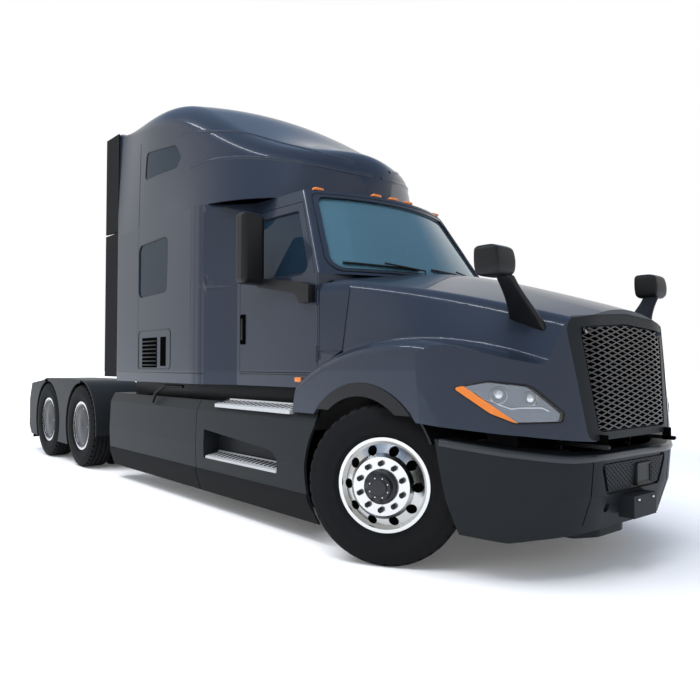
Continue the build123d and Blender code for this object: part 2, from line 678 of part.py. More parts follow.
# Grille: a surround with a recessed panel.
GRILLE_T = 46
grille_band = nose_solid(-4, 700, 2200) - nose_solid(-4 - GRILLE_T, 690, 2210)
inner_points = [(-412, 872), (412, 872), (500, 1488), (0, 1520), (-500, 1488)]
grille_recess = prism_yz(inner_points, 900, 1500, radii=[50, 50, 60, 500, 60]) - nose_solid(-30, 690, 2210)
grille = (grille_band & hood_form & grille_prism(-SEAT)) - grille_recess
keep("grille", grille + hood_lug + flip(hood_lug))

# Wheel arch trim: a dark lip outside and a liner over the wheel.
lip = rod_y(ARCH_R - 1, NOSE_HALF - 40, NOSE_HALF + 6, 0, TYRE_R) - rod_y(LIP_R, 1000, 1400, 0, TYRE_R)
LIP_LOW = FLANK_TOP + 8
liner = rod_y(ARCH_R - 1, 640, NOSE_HALF - 10, 0, TYRE_R) - rod_y(ARCH_R - 16, 600, 1400, 0, TYRE_R)
liner = liner & (box(-800, 800, 600, 1160, 800, 1400) + box(-800, 800, 600, 1400, LIP_LOW, 1400))
lip = lip & box(-800, 560, 600, 1400, LIP_LOW, 1400)
keep("arch_trim", both(lip + liner))

# Bumper: a middle with a grille opening and two ends.
bumper_levels = [
    # z, forward of the nose line
    (220, -105), (500, -18), (1000, 24),
]


def bumper_solid(inset):
    faces = [Plane.XY.offset(z) * nose_plan(out - inset, 0, NOSE_HALF - inset) for z, out in bumper_levels]
    return loft(faces, ruled=True)


BUMPER_TOP = 738
bumper_side = [
    (BUMPER_REAR + 70, 290), (880, 246), (1090, 276), (1500, 380), (1500, BUMPER_TOP), (1130, BUMPER_TOP),
    (1000, 770), (BUMPER_REAR, 838),
]
bumper_full = bumper_solid(0) & prism_xz(bumper_side, -1400, 1400)
lower_side = [
    (BUMPER_REAR - 200, 100), (1500, 100), (1500, BUMPER_TOP - 24), (1130, BUMPER_TOP - 24), (1000, 746),
    (BUMPER_REAR - 200, 838),
]
bumper_hollow = bumper_solid(BUMPER_T) & prism_xz(lower_side, -1300, 1300)
bumper_core = bumper_solid(110)
bumper = bumper_full - bumper_hollow - bumper_core
MID_Y = 470
bumper_window = [(-330, 500), (330, 500), (412, 700), (-412, 700)]
middle = bumper & box(0, 2000, -MID_Y + SEAT, MID_Y - SEAT, 0, 1200)
middle = middle - prism_yz(bumper_window, 900, 1500, radii=[40, 40, 40, 40])
plate_face = NOSE_X + 12
bracket = box(plate_face - 100, plate_face, -140, 140, 345, 478) - bumper_solid(BUMPER_T)
for y in (-PLATE_HOLE_Y, PLATE_HOLE_Y):
    bracket = bracket - rod_x(3.5, plate_face - 30, plate_face + 10, y, 455)
middle = middle + bracket
for y in (-TOW_Y, TOW_Y):
    middle = middle - rod_x(TOW_R, 900, 1400, y, TOW_Z)
dam_plan = [(800, -310), (950, -310), (1030, -150), (1030, 150), (950, 310), (800, 310)]
dam_in = [(x - 26, y * 0.92) for x, y in dam_plan]
dam = prism_xy(dam_plan, 196, 400, radii=[0, 60, 140, 140, 60, 0]) - prism_xy(dam_in, 190, 380)
shelf = box(900, NOSE_X, -290, 290, 380, 400) & bumper_solid(BUMPER_T - 1)
middle = middle + dam + shelf
keep("bumper_middle", middle)
keep("bumper_ends", bumper - box(0, 2000, -MID_Y, MID_Y, 0, 1200))
bumper_arm = box(840, NOSE_X + 50, RAIL_Y - 40, RAIL_Y + 88, RAIL_LOW - 90, BUMPER_TOP - 24)
bumper_arm = bumper_arm & bumper_solid(BUMPER_T)
frame_side = frame_side + bumper_arm + box(840, RAIL_FRONT, RAIL_Y - 40, RAIL_Y, RAIL_LOW - 30, RAIL_LOW)
low_band = bumper_solid(14) - bumper_solid(BUMPER_T)
window_in = [(y - math.copysign(SEAT, y), z - math.copysign(SEAT, z - 600)) for y, z in bumper_window]
keep("bumper_grille", low_band & prism_yz(window_in, 900, 1500, radii=[40, 40, 40, 40]))


# Flank fairings: a front one with two step pockets and a rear one over the tank, both open inward.
def flank_profile(t):
    y = FLANK_Y - t
    low = FLANK_LOW - 1 if t else FLANK_LOW
    top = FLANK_TOP - t
    outer = [(y - 60, low), (y - 12, 300), (y, 560), (y - 14, FLANK_TOP - 90), (y - 60, top)]
    return [(560, low), *outer, (560, top)]


def flank(x0, x1):
    skin = prism_yz(flank_profile(0), x0, x1) - prism_yz(flank_profile(FLANK_T), x0 + FLANK_T, x1 - FLANK_T)
    return skin & box(x0, x1, 900, 1400, 0, 1100)


tank_fairing = flank(FLANK_REAR, FLANK_SEAM - 4)
keep("tank_fairings", both(tank_fairing))
pocket = [(-2060, 452), (-930, 452), (-930, 560), (-1010, 620), (-2060, 700)]
pocket_wall = [(-2084, 428), (-906, 428), (-906, 572), (-996, 644), (-2084, 726)]
step_fairing = flank(FLANK_SEAM + 4, -480)
step_fairing = step_fairing + (prism_xz(pocket_wall, 1040, 1206) & prism_yz(flank_profile(2), -2200, -500))
step_fairing = step_fairing - prism_xz(pocket, 1064, 1400)
step_fairing = step_fairing - box(-1880, -760, 1040, 1400, 905, 1000)
step_fairing = step_fairing - rod_y(586, 500, 1400, 0, TYRE_R)
step_fairing = step_fairing - rod_y(645, 500, FLANK_Y - FLANK_T - 24, 0, TYRE_R)
keep("step_fairings", both(step_fairing))
for x in (-1850, -1150):
    frame_side = frame_side + box(x - 30, x + 30, RAIL_Y, 1040, 560, 620)
    frame_side = frame_side + box(x - 30, x + 30, RAIL_Y, RAIL_Y + 60, 560, RAIL_TOP - 20)
keep("frame_rails", both(frame_side))
lower_step = box(-2040, -950, 1070, FLANK_Y - 14, 452, 470)
upper_step = box(-1870, -770, 1060, FLANK_Y - 4, 905, 930)
keep("steps", both(lower_step) + both(upper_step))
tank = rod_x(TANK_R, -3950, -2480, RAIL_Y + TANK_R + 8, 640)
for x in (-3700, -2730):
    tank = tank + box(x - 40, x + 40, RAIL_Y, RAIL_Y + 120, 560, 760)
    tank = tank + (box(x - 40, x + 40, 960, FLANK_Y - FLANK_T / 2, 540, 600) - tank_fairing)
keep("fuel_tanks", both(tank))

# Side extenders behind the sleeper.
extender = []
for z0, z1 in ((1130, 2735), (2755, 3850)):
    points = [(-4050, 1150), (-4050, 1206), (-4440, 1216), (-4440, 1198), (-4160, 1150)]
    panel = prism_xy(points, z0, z1) - sleeper_solid(0, FLOOR_LOW, SEAM) - roof_trim
    extender.extend(both(panel))
keep("side_extenders", extender)

# Fenders over the drive wheels, with panels between and behind the wheels.
FENDER_IN = 590
x1, x2 = AXLE_X
band = box(x2, x1, FENDER_IN, FENDER_Y, TYRE_R, TYRE_R + FENDER_R + FENDER_T)
core = box(x2, x1, FENDER_IN - 10, FENDER_Y + 10, TYRE_R - 700, TYRE_R + FENDER_R)
for x in AXLE_X:
    band = band + rod_y(FENDER_R + FENDER_T, FENDER_IN, FENDER_Y, x, TYRE_R)
    core = core + rod_y(FENDER_R, FENDER_IN - 10, FENDER_Y + 10, x, TYRE_R)
fender = (band - core) & box(-9000, 0, 0, 1400, 420, 1400)
middle_panel = box(x2, x1, FENDER_Y - 20, FENDER_Y, 240, TYRE_R + FENDER_R)
middle_panel = middle_panel - rod_y(TYRE_R + 22, 1000, 1400, x1, TYRE_R)
middle_panel = middle_panel - rod_y(TYRE_R + 22, 1000, 1400, x2, TYRE_R)
tail_points = [(x2, 240), (-7330, 260), (-7440, 380), (-7440, 760), (-7330, 1000), (x2, TYRE_R + FENDER_R)]
tail_panel = prism_xz(tail_points, FENDER_Y - 20, FENDER_Y) - rod_y(TYRE_R + 22, 1000, 1400, x2, TYRE_R)
tail_panel = tail_panel & box(-8000, x2 - 120, 0, 1400, 0, 1400)
fender = fender + middle_panel + tail_panel
for x in (x1 + 450, (x1 + x2) / 2, x2 - 450):
    fender = fender + rod_y(22, RAIL_Y, FENDER_IN + 40, x, 880)
    fender = fender + box(x - 22, x + 22, FENDER_IN, FENDER_IN + 40, 858, TYRE_R + 420)
keep("drive_fenders", both(fender))

# Coupling plate on its tilting base.
TILT_Z = 1085
FOOT_TOP = RAIL_TOP + 20
base_points = [
    (-330, RAIL_TOP), (330, RAIL_TOP), (330, FOOT_TOP),
    (60, FOOT_TOP), (40, TILT_Z), (-40, TILT_Z), (-60, FOOT_TOP),
    (-330, FOOT_TOP),
]
bases = []
for side in (1, -1):
    foot = prism_xz([(PLATE_X + x, z) for x, z in base_points], side * 400 - 30, side * 400 + 30)
    foot = foot + rod_y(40, side * 400 - 30, side * 400 + 30, PLATE_X, TILT_Z)
    bases.append(foot - rod_y(18 + RUN, -600, 600, PLATE_X, TILT_Z))
keep("coupling_base", bases)
plate_half = [
    (390, 0), (390, 250), (180, 455), (-180, 455), (-470, 330), (-470, 210), (-60, KING_R + 2), (-60, 0),
]
plate_left = prism_xy([(PLATE_X + x, y) for x, y in plate_half], PLATE_TOP - 40, PLATE_TOP)
plate = plate_left + flip(plate_left) - rod_z(KING_R + 1, 1000, 1300, PLATE_X - 60 + KING_R, 0)
plate = plate - box(PLATE_X - 62, PLATE_X - 60 + KING_R, -KING_R - 1, KING_R + 1, 1000, 1300)
for side in (1, -1):
    ear = box(PLATE_X - 45, PLATE_X + 45, side * 345 - 17, side * 345 + 17, TILT_Z, PLATE_TOP - 40)
    ear = ear + rod_y(45, side * 345 - 17, side * 345 + 17, PLATE_X, TILT_Z)
    plate = plate + ear + rod_y(18, side * 330, side * 436, PLATE_X, TILT_Z)
keep("coupling_plate", plate)

# Deck plate behind the sleeper, the tail crossbar and its lamps.
keep("deck", box(-4820, -4230, -RAIL_Y - 60, RAIL_Y + 60, RAIL_TOP, RAIL_TOP + 40))
keep("tail_lamps", both(box(RAIL_REAR - 30, RAIL_REAR, 250, 420, 800, 940)))


# Door mirrors on arms, and hood mirrors on stalks.
def mirror_head(x0, x1, y0, y1, z0, z1, r):
    head = box(x0, x1, y0, y1, z0, z1)
    return fillet(head.edges(), r)


head = mirror_head(-1440, -1300, 1080, 1290, 1905, 2480, 40)
arm_points = [
    (-690, 1720), (-690, 1850), (-800, 1880), (-1380, 1965), (-1380, 1890), (-860, 1800), (-800, 1720),
]
stalk = prism_xz(arm_points, CAB_HALF, CAB_HALF + 62)
door_mirror = head + stalk
keep("mirror_left", door_mirror)
keep("mirror_right", flip(door_mirror))
nose_head = mirror_head(785, 935, 830, 1050, 1755, 1935, 40)
nose_stalk = loft(
    [
        Plane(origin=(850, 610, 1480), z_dir=(0, 0, 1)) * Rectangle(210, 60),
        Plane(origin=(870, 860, 1780), z_dir=(0, 0, 1)) * Rectangle(90, 45),
    ],
    ruled=True,
)
keep("hood_mirrors", both((nose_head + nose_stalk) - hood_outer))

FRONT_END = max(solid.bounding_box().max.X for solids in nodes.values() for solid in solids)
REAR_END = min(solid.bounding_box().min.X for solids in nodes.values() for solid in solids)
MIDDLE_X = round((FRONT_END + REAR_END) / 2, 3)
os.makedirs("parts", exist_ok=True)
for name, solids in nodes.items():
    moved = [Pos(-MIDDLE_X, 0, 0) * solid for solid in solids]
    export_step(Compound(children=moved), os.path.join("parts", name + ".step"))
print("middle", MIDDLE_X, "front", FRONT_END, "rear", REAR_END, "nodes", len(nodes))
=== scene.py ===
# %% [markdown]
# # A highway tractor unit, dressed around its CAD frame
#
# The CAD part already holds the big forms: cab, sleeper, hood, wheels, rails.
# This lesson gives every one of them a finish and models the small things that
# a designer leaves to the end: tyre tread, wheel nuts, grille mesh, lamps,
# vents, wipers, steps and seams. Lengths are metres, X is forward, Y is left.

import json
import math

import bpy
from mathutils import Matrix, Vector


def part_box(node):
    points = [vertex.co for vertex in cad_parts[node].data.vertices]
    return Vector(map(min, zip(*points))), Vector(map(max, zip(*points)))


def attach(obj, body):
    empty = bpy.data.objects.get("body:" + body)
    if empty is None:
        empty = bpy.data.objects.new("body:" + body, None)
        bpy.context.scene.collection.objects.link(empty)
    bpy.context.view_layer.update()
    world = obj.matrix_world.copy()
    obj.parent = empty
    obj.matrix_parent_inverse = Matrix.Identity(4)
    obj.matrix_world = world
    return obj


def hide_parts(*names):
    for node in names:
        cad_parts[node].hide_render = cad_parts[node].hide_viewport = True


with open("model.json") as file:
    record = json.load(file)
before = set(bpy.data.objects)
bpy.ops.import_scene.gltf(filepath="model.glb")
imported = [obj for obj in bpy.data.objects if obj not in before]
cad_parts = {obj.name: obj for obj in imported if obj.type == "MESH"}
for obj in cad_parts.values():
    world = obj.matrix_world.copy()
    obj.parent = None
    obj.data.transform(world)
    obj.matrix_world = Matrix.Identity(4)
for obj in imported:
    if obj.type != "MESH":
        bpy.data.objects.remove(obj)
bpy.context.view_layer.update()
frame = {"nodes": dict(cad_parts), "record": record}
NODES = frame["nodes"]
SIDES = (("left", 1), ("right", -1))


def middle_of(node):
    low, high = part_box(node)
    return (low + high) / 2


AXLE_X = middle_of("front_axle").x
AXLE_Z = middle_of("front_tyre_left").z


def at(x, y, z):
    """A point measured forward from the front axle."""
    return Vector((AXLE_X + x, y, z))


print("front axle stands at x", round(AXLE_X, 4), "hub height", round(AXLE_Z, 3))

# %% [markdown]
# ## Finishes
#
# A finish is a small tree of shader nodes. One helper sets the values of a
# node's sockets, and another adds a node that is already wired to its sources.


# %% Shader nodes
def set_values(node, values):
    for socket, value in values.items():
        node.inputs[socket].default_value = value


def add_node(tree, kind, *sources, operation=None, **values):
    """A new shader node, with what feeds its first sockets and the values of others."""
    node = tree.nodes.new(kind)
    if operation:
        node.operation = operation
    set_values(node, {name.replace("_", " "): value for name, value in values.items()})
    for socket, source in zip(node.inputs, sources):
        tree.links.new(source, socket)
    return node


# %% [markdown]
# Paint, rubber, cast iron and polished metal differ in three numbers more than
# in anything else: colour, roughness and how metallic they are. One helper
# sets these on a Principled shader. A fine noise on Object coordinates adds
# the grain of moulded plastic or rubber as a light bump. Numbers that are the
# same all over a surface are set on the shader's sockets.

# %% Finish helper
COAT_ROUGH = 0.03
GLASS_IOR = 1.45
GRAIN_DETAIL = 3.0
GRAIN_DEPTH = 0.002


def finish(name, colour, rough, metal=0.0, coat=0.0, grain=0.0, grain_scale=400.0, clear=0.0, shine=0.5):
    look = bpy.data.materials.new(name)
    look.use_nodes = True
    tree = look.node_tree
    shader = tree.nodes["Principled BSDF"]
    set_values(shader, {
        "Base Color": (*colour, 1.0), "Roughness": rough, "Metallic": metal, "Coat Weight": coat,
        "Coat Roughness": COAT_ROUGH, "Transmission Weight": clear, "IOR": GLASS_IOR,
        "Specular IOR Level": shine,
    })
    if grain:
        where = add_node(tree, "ShaderNodeTexCoord").outputs["Object"]
        noise = add_node(tree, "ShaderNodeTexNoise", where, Scale=grain_scale, Detail=GRAIN_DETAIL)
        bump = add_node(tree, "ShaderNodeBump", Strength=grain, Distance=GRAIN_DEPTH)
        tree.links.new(noise.outputs["Fac"], bump.inputs["Height"])
        tree.links.new(bump.outputs["Normal"], shader.inputs["Normal"])
    look.diffuse_color = (*colour, 1.0)
    return look


# %% [markdown]
# The body colour is a slate grey metallic, tinted a little blue: a painted
# reflection of the sky. Real metallic paint holds tiny flakes under a clear
# coat, so a very fine noise shifts the base colour a little, and a coat layer
# on top gives the sharp reflections.

# %% Paint with flakes
FLAKE_SCALE = 1400.0


def add_ramp(tree, source, *stops):
    """A colour ramp with two stops, each a position and a colour."""
    ramp = add_node(tree, "ShaderNodeValToRGB", source)
    for element, (position, colour) in zip(ramp.color_ramp.elements, stops):
        element.position = position
        element.color = (*colour, 1.0)
    return ramp


def flake_paint(name, dark, bright):
    look = finish(name, dark, 0.3, metal=0.3, coat=0.38, shine=0.12)
    tree = look.node_tree
    where = add_node(tree, "ShaderNodeTexCoord").outputs["Object"]
    noise = add_node(tree, "ShaderNodeTexNoise", where, Scale=FLAKE_SCALE)
    ramp = add_ramp(tree, noise.outputs["Fac"], (0.35, dark), (0.7, bright))
    tree.links.new(ramp.outputs["Color"], tree.nodes["Principled BSDF"].inputs["Base Color"])
    return look


# %% [markdown]
# All finishes stand in one table, so that a colour is written once. They are
# a little darker than the eye reads them, because clear coat and sky add
# light.

# %% Table of finishes
LOOKS = {
    # the blue in these colours is a painted reflection of the sky
    "paint": flake_paint("slate_paint_painted_sky_tint", (0.014, 0.0195, 0.031), (0.027, 0.0365, 0.057)),
    "trim": finish("grey_moulding", (0.0145, 0.0165, 0.0185), 0.4, grain=0.08, grain_scale=900, shine=0.1),
    # a little lighter than the trim: a painted highlight on the bumper's shoulder
    "satin": finish("satin_moulding_painted_highlight", (0.0185, 0.021, 0.0235), 0.3, shine=0.5),
    "black": finish("black_moulding", (0.006, 0.006, 0.007), 0.36, grain=0.05, grain_scale=900, shine=0.25),
    "frame": finish("chassis_black", (0.009, 0.009, 0.010), 0.42, metal=0.1, shine=0.35),
    "iron": finish("cast_iron", (0.05, 0.05, 0.053), 0.6, metal=0.4, grain=0.25, grain_scale=160),
    "tyre": finish("rubber", (0.007, 0.007, 0.008), 0.72, grain=0.12, grain_scale=260, shine=0.12),
    "alloy": finish("polished_alloy", (0.56, 0.56, 0.55), 0.2, metal=1.0),
    "wheel_cover": finish("dark_cover", (0.018, 0.019, 0.022), 0.34, metal=0.2, shine=0.4),
    # the pale blue of the windscreen is its tint and a painted reflection of the sky
    "glass": finish("tinted_glass", (0.11, 0.25, 0.33), 0.02, clear=0.65),
    "side_glass": finish("dark_glass", (0.012, 0.026, 0.044), 0.02, clear=0.4, shine=0.03),
    "lamp_clear": finish("lamp_lens", (0.93, 0.96, 1.0), 0.02, clear=1.0),
    "lamp_amber": finish("amber_lens", (0.66, 0.17, 0.012), 0.14, coat=0.4),
    "lamp_red": finish("red_lens", (0.45, 0.010, 0.010), 0.14, coat=0.4),
    "cloth": finish("seat_cloth", (0.04, 0.04, 0.045), 0.9, grain=0.4, grain_scale=500),
    "cabin": finish("cabin_plastic", (0.05, 0.05, 0.054), 0.6, grain=0.15, grain_scale=500),
    "tank": finish("tank_alloy", (0.6, 0.61, 0.62), 0.3, metal=1.0),
    "bars": finish("gloss_bars", (0.012, 0.012, 0.014), 0.25, coat=0.35, shine=0.3),
    "tread": finish("tread_alloy", (0.46, 0.47, 0.48), 0.45, metal=0.35),
    "reflector": finish("lamp_reflector", (0.2, 0.22, 0.25), 0.12, metal=1.0),
    # near black without shine: painted shade in openings, wells and gaps; also the bumper's dark joints
    "painted_shade_and_joints": finish("painted_shade_and_joint_black", (0.002, 0.002, 0.002), 0.95, shine=0.0),
    "steel": finish("greased_steel", (0.12, 0.12, 0.125), 0.4, metal=0.9),
}
print("finishes:", len(LOOKS))

# %% [markdown]
# Each CAD node names its material slot in the record and gets that finish. A
# few are darker on the real tractor than the rest of their slot: the side
# extenders, the trim of the wheel arches and the panes beside the windscreen.

# %% Dress the CAD nodes
for part in frame["record"]["subparts"]:
    mesh = NODES[part["node"]].data
    mesh.materials.clear()
    mesh.materials.append(LOOKS[part["material_slot"]])
darker = {
    "side_extenders": "tyre",
    "arch_trim": "black",
    "sleeper_windows": "side_glass",
    "door_glass_left": "side_glass",
    "door_glass_right": "side_glass",
}
for node, look in darker.items():
    NODES[node].data.materials[0] = LOOKS[look]

# %% [markdown]
# CAD meshes arrive as loose triangles with flat faces. Shading by angle keeps
# the sharp edges of the panels and smooths everything that is curved.

# %% Smooth the CAD nodes
CAD_ANGLE = 28
for node in NODES.values():
    bpy.ops.object.select_all(action="DESELECT")
    node.select_set(True)
    bpy.context.view_layer.objects.active = node
    bpy.ops.object.shade_smooth_by_angle(angle=math.radians(CAD_ANGLE))
print("nodes shaded:", len(NODES))

# %% [markdown]
# ## A few bench tools
#
# Most pieces start in one of three ways: a block with rounded edges, a line
# drawn point by point, or such a line spun round an axle. Operators act on
# whatever is selected, so each tool first clears the selection.


# %% Selecting and editing
def fresh():
    if bpy.context.mode != "OBJECT":
        bpy.ops.object.mode_set(mode="OBJECT")
    bpy.ops.object.select_all(action="DESELECT")


def pick(*pieces):
    fresh()
    for piece in pieces:
        piece.select_set(True)
    bpy.context.view_layer.objects.active = pieces[0]


def edit(piece, kind=None):
    """Opens a piece in edit mode with all of it selected."""
    pick(piece)
    bpy.ops.object.mode_set(mode="EDIT")
    if kind:
        bpy.ops.mesh.select_mode(type=kind)
    bpy.ops.mesh.select_all(action="SELECT")


def freeze():
    """Puts the active object's place, turn and scale into its mesh."""
    bpy.ops.object.transform_apply(location=True, rotation=True, scale=True)


# %% [markdown]
# What is drawn or spun leaves doubled corners, which are welded, and faces
# that may look inwards, which are turned out. A pattern that has been copied
# often enough is thrown away.

# %% Welding and turning out
# corners closer than this are one corner
MERGE = 0.00002


def weld(distance=MERGE):
    bpy.ops.mesh.select_all(action="SELECT")
    bpy.ops.mesh.remove_doubles(threshold=distance)


def face_out():
    """Turns all faces outwards and leaves edit mode."""
    bpy.ops.mesh.select_all(action="SELECT")
    bpy.ops.mesh.normals_make_consistent(inside=False)
    fresh()


def discard(*pieces):
    for piece in pieces:
        bpy.data.objects.remove(piece)


# %% [markdown]
# A modifier is applied at once, because the next step works on the mesh that
# it leaves. A bevel rounds only the edges that are sharp.

# %% Modifiers
SHARP = math.radians(40)


def use_modifier(piece, kind, **settings):
    pick(piece)
    modifier = piece.modifiers.new(kind.lower(), kind)
    for key, value in settings.items():
        setattr(modifier, key, value)
    bpy.ops.object.modifier_apply(modifier=modifier.name)


def round_edges(piece, width, segments=3):
    use_modifier(piece, "BEVEL", width=width, segments=segments, limit_method="ANGLE", angle_limit=SHARP)


# %% [markdown]
# A block is a cube scaled to two corners, with its edges bevelled. A line is
# a plane merged to one point, which is then extruded from place to place.


# %% Blocks and lines
def block(name, low, high, width=0.004, segments=2):
    fresh()
    low, high = Vector(low), Vector(high)
    bpy.ops.mesh.primitive_cube_add(size=1, location=(low + high) / 2)
    piece = bpy.context.object
    piece.name = name
    piece.scale = high - low
    freeze()
    round_edges(piece, width, segments)
    return piece


def side_block(name, sign, x, y, z, width=0.004, segments=2):
    """A block on one side: x from the axle, y from the middle outwards and z, each from and to."""
    low_y, high_y = sorted((sign * y[0], sign * y[1]))
    return block(name, at(x[0], low_y, z[0]), at(x[1], high_y, z[1]), width, segments)


def draw_line(name, points):
    fresh()
    bpy.ops.mesh.primitive_plane_add(size=0.001, location=points[0])
    piece = bpy.context.object
    piece.name = name
    freeze()
    edit(piece, "VERT")
    bpy.ops.mesh.merge(type="CENTER")
    for before, after in zip(points, points[1:]):
        step = Vector(after) - Vector(before)
        bpy.ops.mesh.extrude_region_move(TRANSFORM_OT_translate={"value": step})
    return piece


# %% [markdown]
# From a line come the round and the long pieces: spun round an axle, filled
# and pulled into a bar, or made a curve with a round bevel for a rod.


# %% Lathe, bar and rod
def lathe(name, profile, steps):
    """Spins a line of (radius, y) points round the Y axis."""
    piece = draw_line(name, [(0, y, r) for r, y in profile])
    bpy.ops.mesh.select_all(action="SELECT")
    bpy.ops.mesh.spin(steps=steps, angle=2 * math.pi, center=(0, 0, 0), axis=(0, 1, 0))
    weld()
    face_out()
    return piece


def bar(name, outline, x0, x1):
    """A straight moulding: an outline of (y, z) points, filled and pulled along X."""
    piece = draw_line(name, [(x0, y, z) for y, z in [*outline, outline[0]]])
    weld()
    bpy.ops.mesh.edge_face_add()
    bpy.ops.mesh.extrude_region_move(TRANSFORM_OT_translate={"value": (x1 - x0, 0, 0)})
    face_out()
    return piece


def tube(line, radius, resolution, caps):
    """Makes a line a curve, gives it a round bevel and makes it a mesh again."""
    pick(line)
    bpy.ops.object.convert(target="CURVE")
    curve = bpy.context.object.data
    curve.bevel_depth = radius
    curve.bevel_resolution = resolution
    curve.use_fill_caps = caps
    bpy.ops.object.convert(target="MESH")
    return bpy.context.object


def rod(name, points, radius, sides=10):
    return tube(draw_line(name, points), radius, sides // 4, caps=True)


# %% [markdown]
# What repeats is modelled once. A copy has a mesh of its own, and a mirrored
# copy gets its normals turned out again.


# %% Copies
def copy_of(piece, name):
    pick(piece)
    bpy.ops.object.duplicate(linked=False)
    twin = bpy.context.object
    twin.name = name
    return twin


def place(piece, spot=(0, 0, 0), turn=0.0):
    pick(piece)
    piece.rotation_euler = (0, 0, turn)
    piece.location = spot
    freeze()
    return piece


def mirrored(piece, name):
    twin = copy_of(piece, name)
    twin.scale = (1, -1, 1)
    freeze()
    edit(twin)
    face_out()
    return twin


def join(name, *pieces):
    pick(*pieces)
    if len(pieces) > 1:
        bpy.ops.object.join()
    whole = bpy.context.object
    whole.name = name
    return whole


# %% [markdown]
# Faces and corners are chosen by a test on where they are, as one would pick
# them by hand on the screen. The last tool of all gives a piece its finish,
# its shading and the body that carries it.


# %% Choosing and settling
def choose_none(piece, kind):
    """Clears the choice of faces, edges or corners, so that a loop can make a new one."""
    edit(piece, kind)
    bpy.ops.mesh.select_all(action="DESELECT")
    bpy.ops.object.mode_set(mode="OBJECT")


def choose(piece, test):
    """Selects, in edit mode, the faces whose middle and normal pass the test."""
    choose_none(piece, "FACE")
    for face in piece.data.polygons:
        face.select = test(face.center, face.normal)
    bpy.ops.object.mode_set(mode="EDIT")


def nudge(piece, test, step):
    """Moves, in edit mode, the corners that pass the test."""
    choose_none(piece, "VERT")
    for corner in piece.data.vertices:
        corner.select = test(corner.co)
    bpy.ops.object.mode_set(mode="EDIT")
    bpy.ops.transform.translate(value=step)
    fresh()


def sink(piece, test, rim, step):
    """Insets the faces that pass the test and moves what lies inside the rim."""
    choose(piece, test)
    bpy.ops.mesh.inset(thickness=rim)
    bpy.ops.transform.translate(value=step)


def settle(piece, body, slot, *stands_for, angle=35, look=None):
    """The last step of a piece: its finish, its shading and the body that carries it."""
    pick(piece)
    piece.data.materials.clear()
    piece.data.materials.append(LOOKS[look or slot])
    for face in piece.data.polygons:
        face.material_index = 0
    bpy.ops.object.shade_smooth_by_angle(angle=math.radians(angle))
    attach(piece, body)
    if stands_for:
        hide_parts(*stands_for)
    return piece


# %% [markdown]
# ## Tyres
#
# A truck tyre is a surface of revolution with grooves round its tread, so its
# section is drawn once and spun. The shoulders carry sipes: every third face
# of a shoulder is pushed in, which is how the block pattern would be cut by
# hand. Steering tyres have shallow sipes and drive tyres deep ones.

# %% Tyre section
TYRE_R = (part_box("front_tyre_left")[1].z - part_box("front_tyre_left")[0].z) / 2
TYRE_STEPS = 120
TYRE_HALF_WIDTH = 0.1425
SIPE_FROM, SIPE_TO = 0.105, 0.131
SIPE_R = 0.4845
SIPE_EVERY = 3
STEER_SIPE, DRIVE_SIPE = 0.006, 0.016
GROOVE_HALF = 0.0065
GROOVE_DEEP = 0.015
groove_places = (0.079, 0.027, -0.027, -0.079)
flank_half = [
    # radius, y from the rim flange out to the tread's edge
    (0.2885, 0.1045), (0.2995, 0.1055), (0.306, 0.117), (0.330, 0.1345), (0.334, 0.1335),
    (0.370, 0.1415), (0.402, 0.1425), (0.436, 0.1395), (0.440, 0.137), (0.470, 0.1335),
    (0.484, 0.129), (0.4965, 0.1205), (0.5055, 0.106),
]


def tyre_section():
    across = list(flank_half)
    for y in groove_places:
        across += [(TYRE_R, y + GROOVE_HALF), (TYRE_R - GROOVE_DEEP, y + GROOVE_HALF * 0.6)]
        across += [(TYRE_R - GROOVE_DEEP, y - GROOVE_HALF * 0.6), (TYRE_R, y - GROOVE_HALF)]
    across += [(r, -y) for r, y in reversed(flank_half)]
    return across


def tyre(name, sipe):
    piece = lathe(name, tyre_section() + [flank_half[0]], TYRE_STEPS)

    def shoulder(centre, normal):
        r = math.hypot(centre.x, centre.z)
        number = int((math.atan2(centre.z, centre.x) + math.pi) / (2 * math.pi) * TYRE_STEPS)
        return SIPE_FROM < abs(centre.y) < SIPE_TO and r > SIPE_R and number % SIPE_EVERY == 0

    choose(piece, shoulder)
    bpy.ops.mesh.extrude_region_shrink_fatten(TRANSFORM_OT_shrink_fatten={"value": -sipe})
    fresh()
    return piece


steer_tyre = tyre("steer_tyre", STEER_SIPE)
drive_tyre = tyre("drive_tyre", DRIVE_SIPE)
print("tyre faces:", len(steer_tyre.data.polygons))

# %% [markdown]
# Each wheel gets its own copy. The steering wheels stand turned by thirty
# degrees at rest, so their copies are turned before they are put in place.
# A twin wheel carries two tyres in one piece.

# %% Tyres in place
STEER_TURN = math.radians(30)
for side, sign in SIDES:
    node = "front_tyre_" + side
    piece = place(copy_of(steer_tyre, "steer_tyre_" + side), middle_of(node), STEER_TURN)
    settle(piece, side + "_front_wheel", "tyre", node)
    for number in (1, 2):
        node = "drive_tyres_%d_%s" % (number, side)
        low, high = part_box(node)
        pair = []
        for y in (low.y + TYRE_HALF_WIDTH, high.y - TYRE_HALF_WIDTH):
            spot = Vector(((low.x + high.x) / 2, y, AXLE_Z))
            pair.append(place(copy_of(drive_tyre, "drive_tyre_copy"), spot))
        piece = join("drive_tyre_pair_%d_%s" % (number, side), *pair)
        settle(piece, "%s_drive_wheel_%d" % (side, number), "tyre", node)
        print("twin tyres on", side, "drive wheel", number)
discard(steer_tyre, drive_tyre)

# %% [markdown]
# ## Wheel centres
#
# Ten nuts stand on the flange of the alloy wheel and a dark oil cap closes the
# hub. A nut is a six sided cylinder whose outer face is inset and raised to
# make its dome. One nut is modelled, and ten copies are put on the bolt circle.


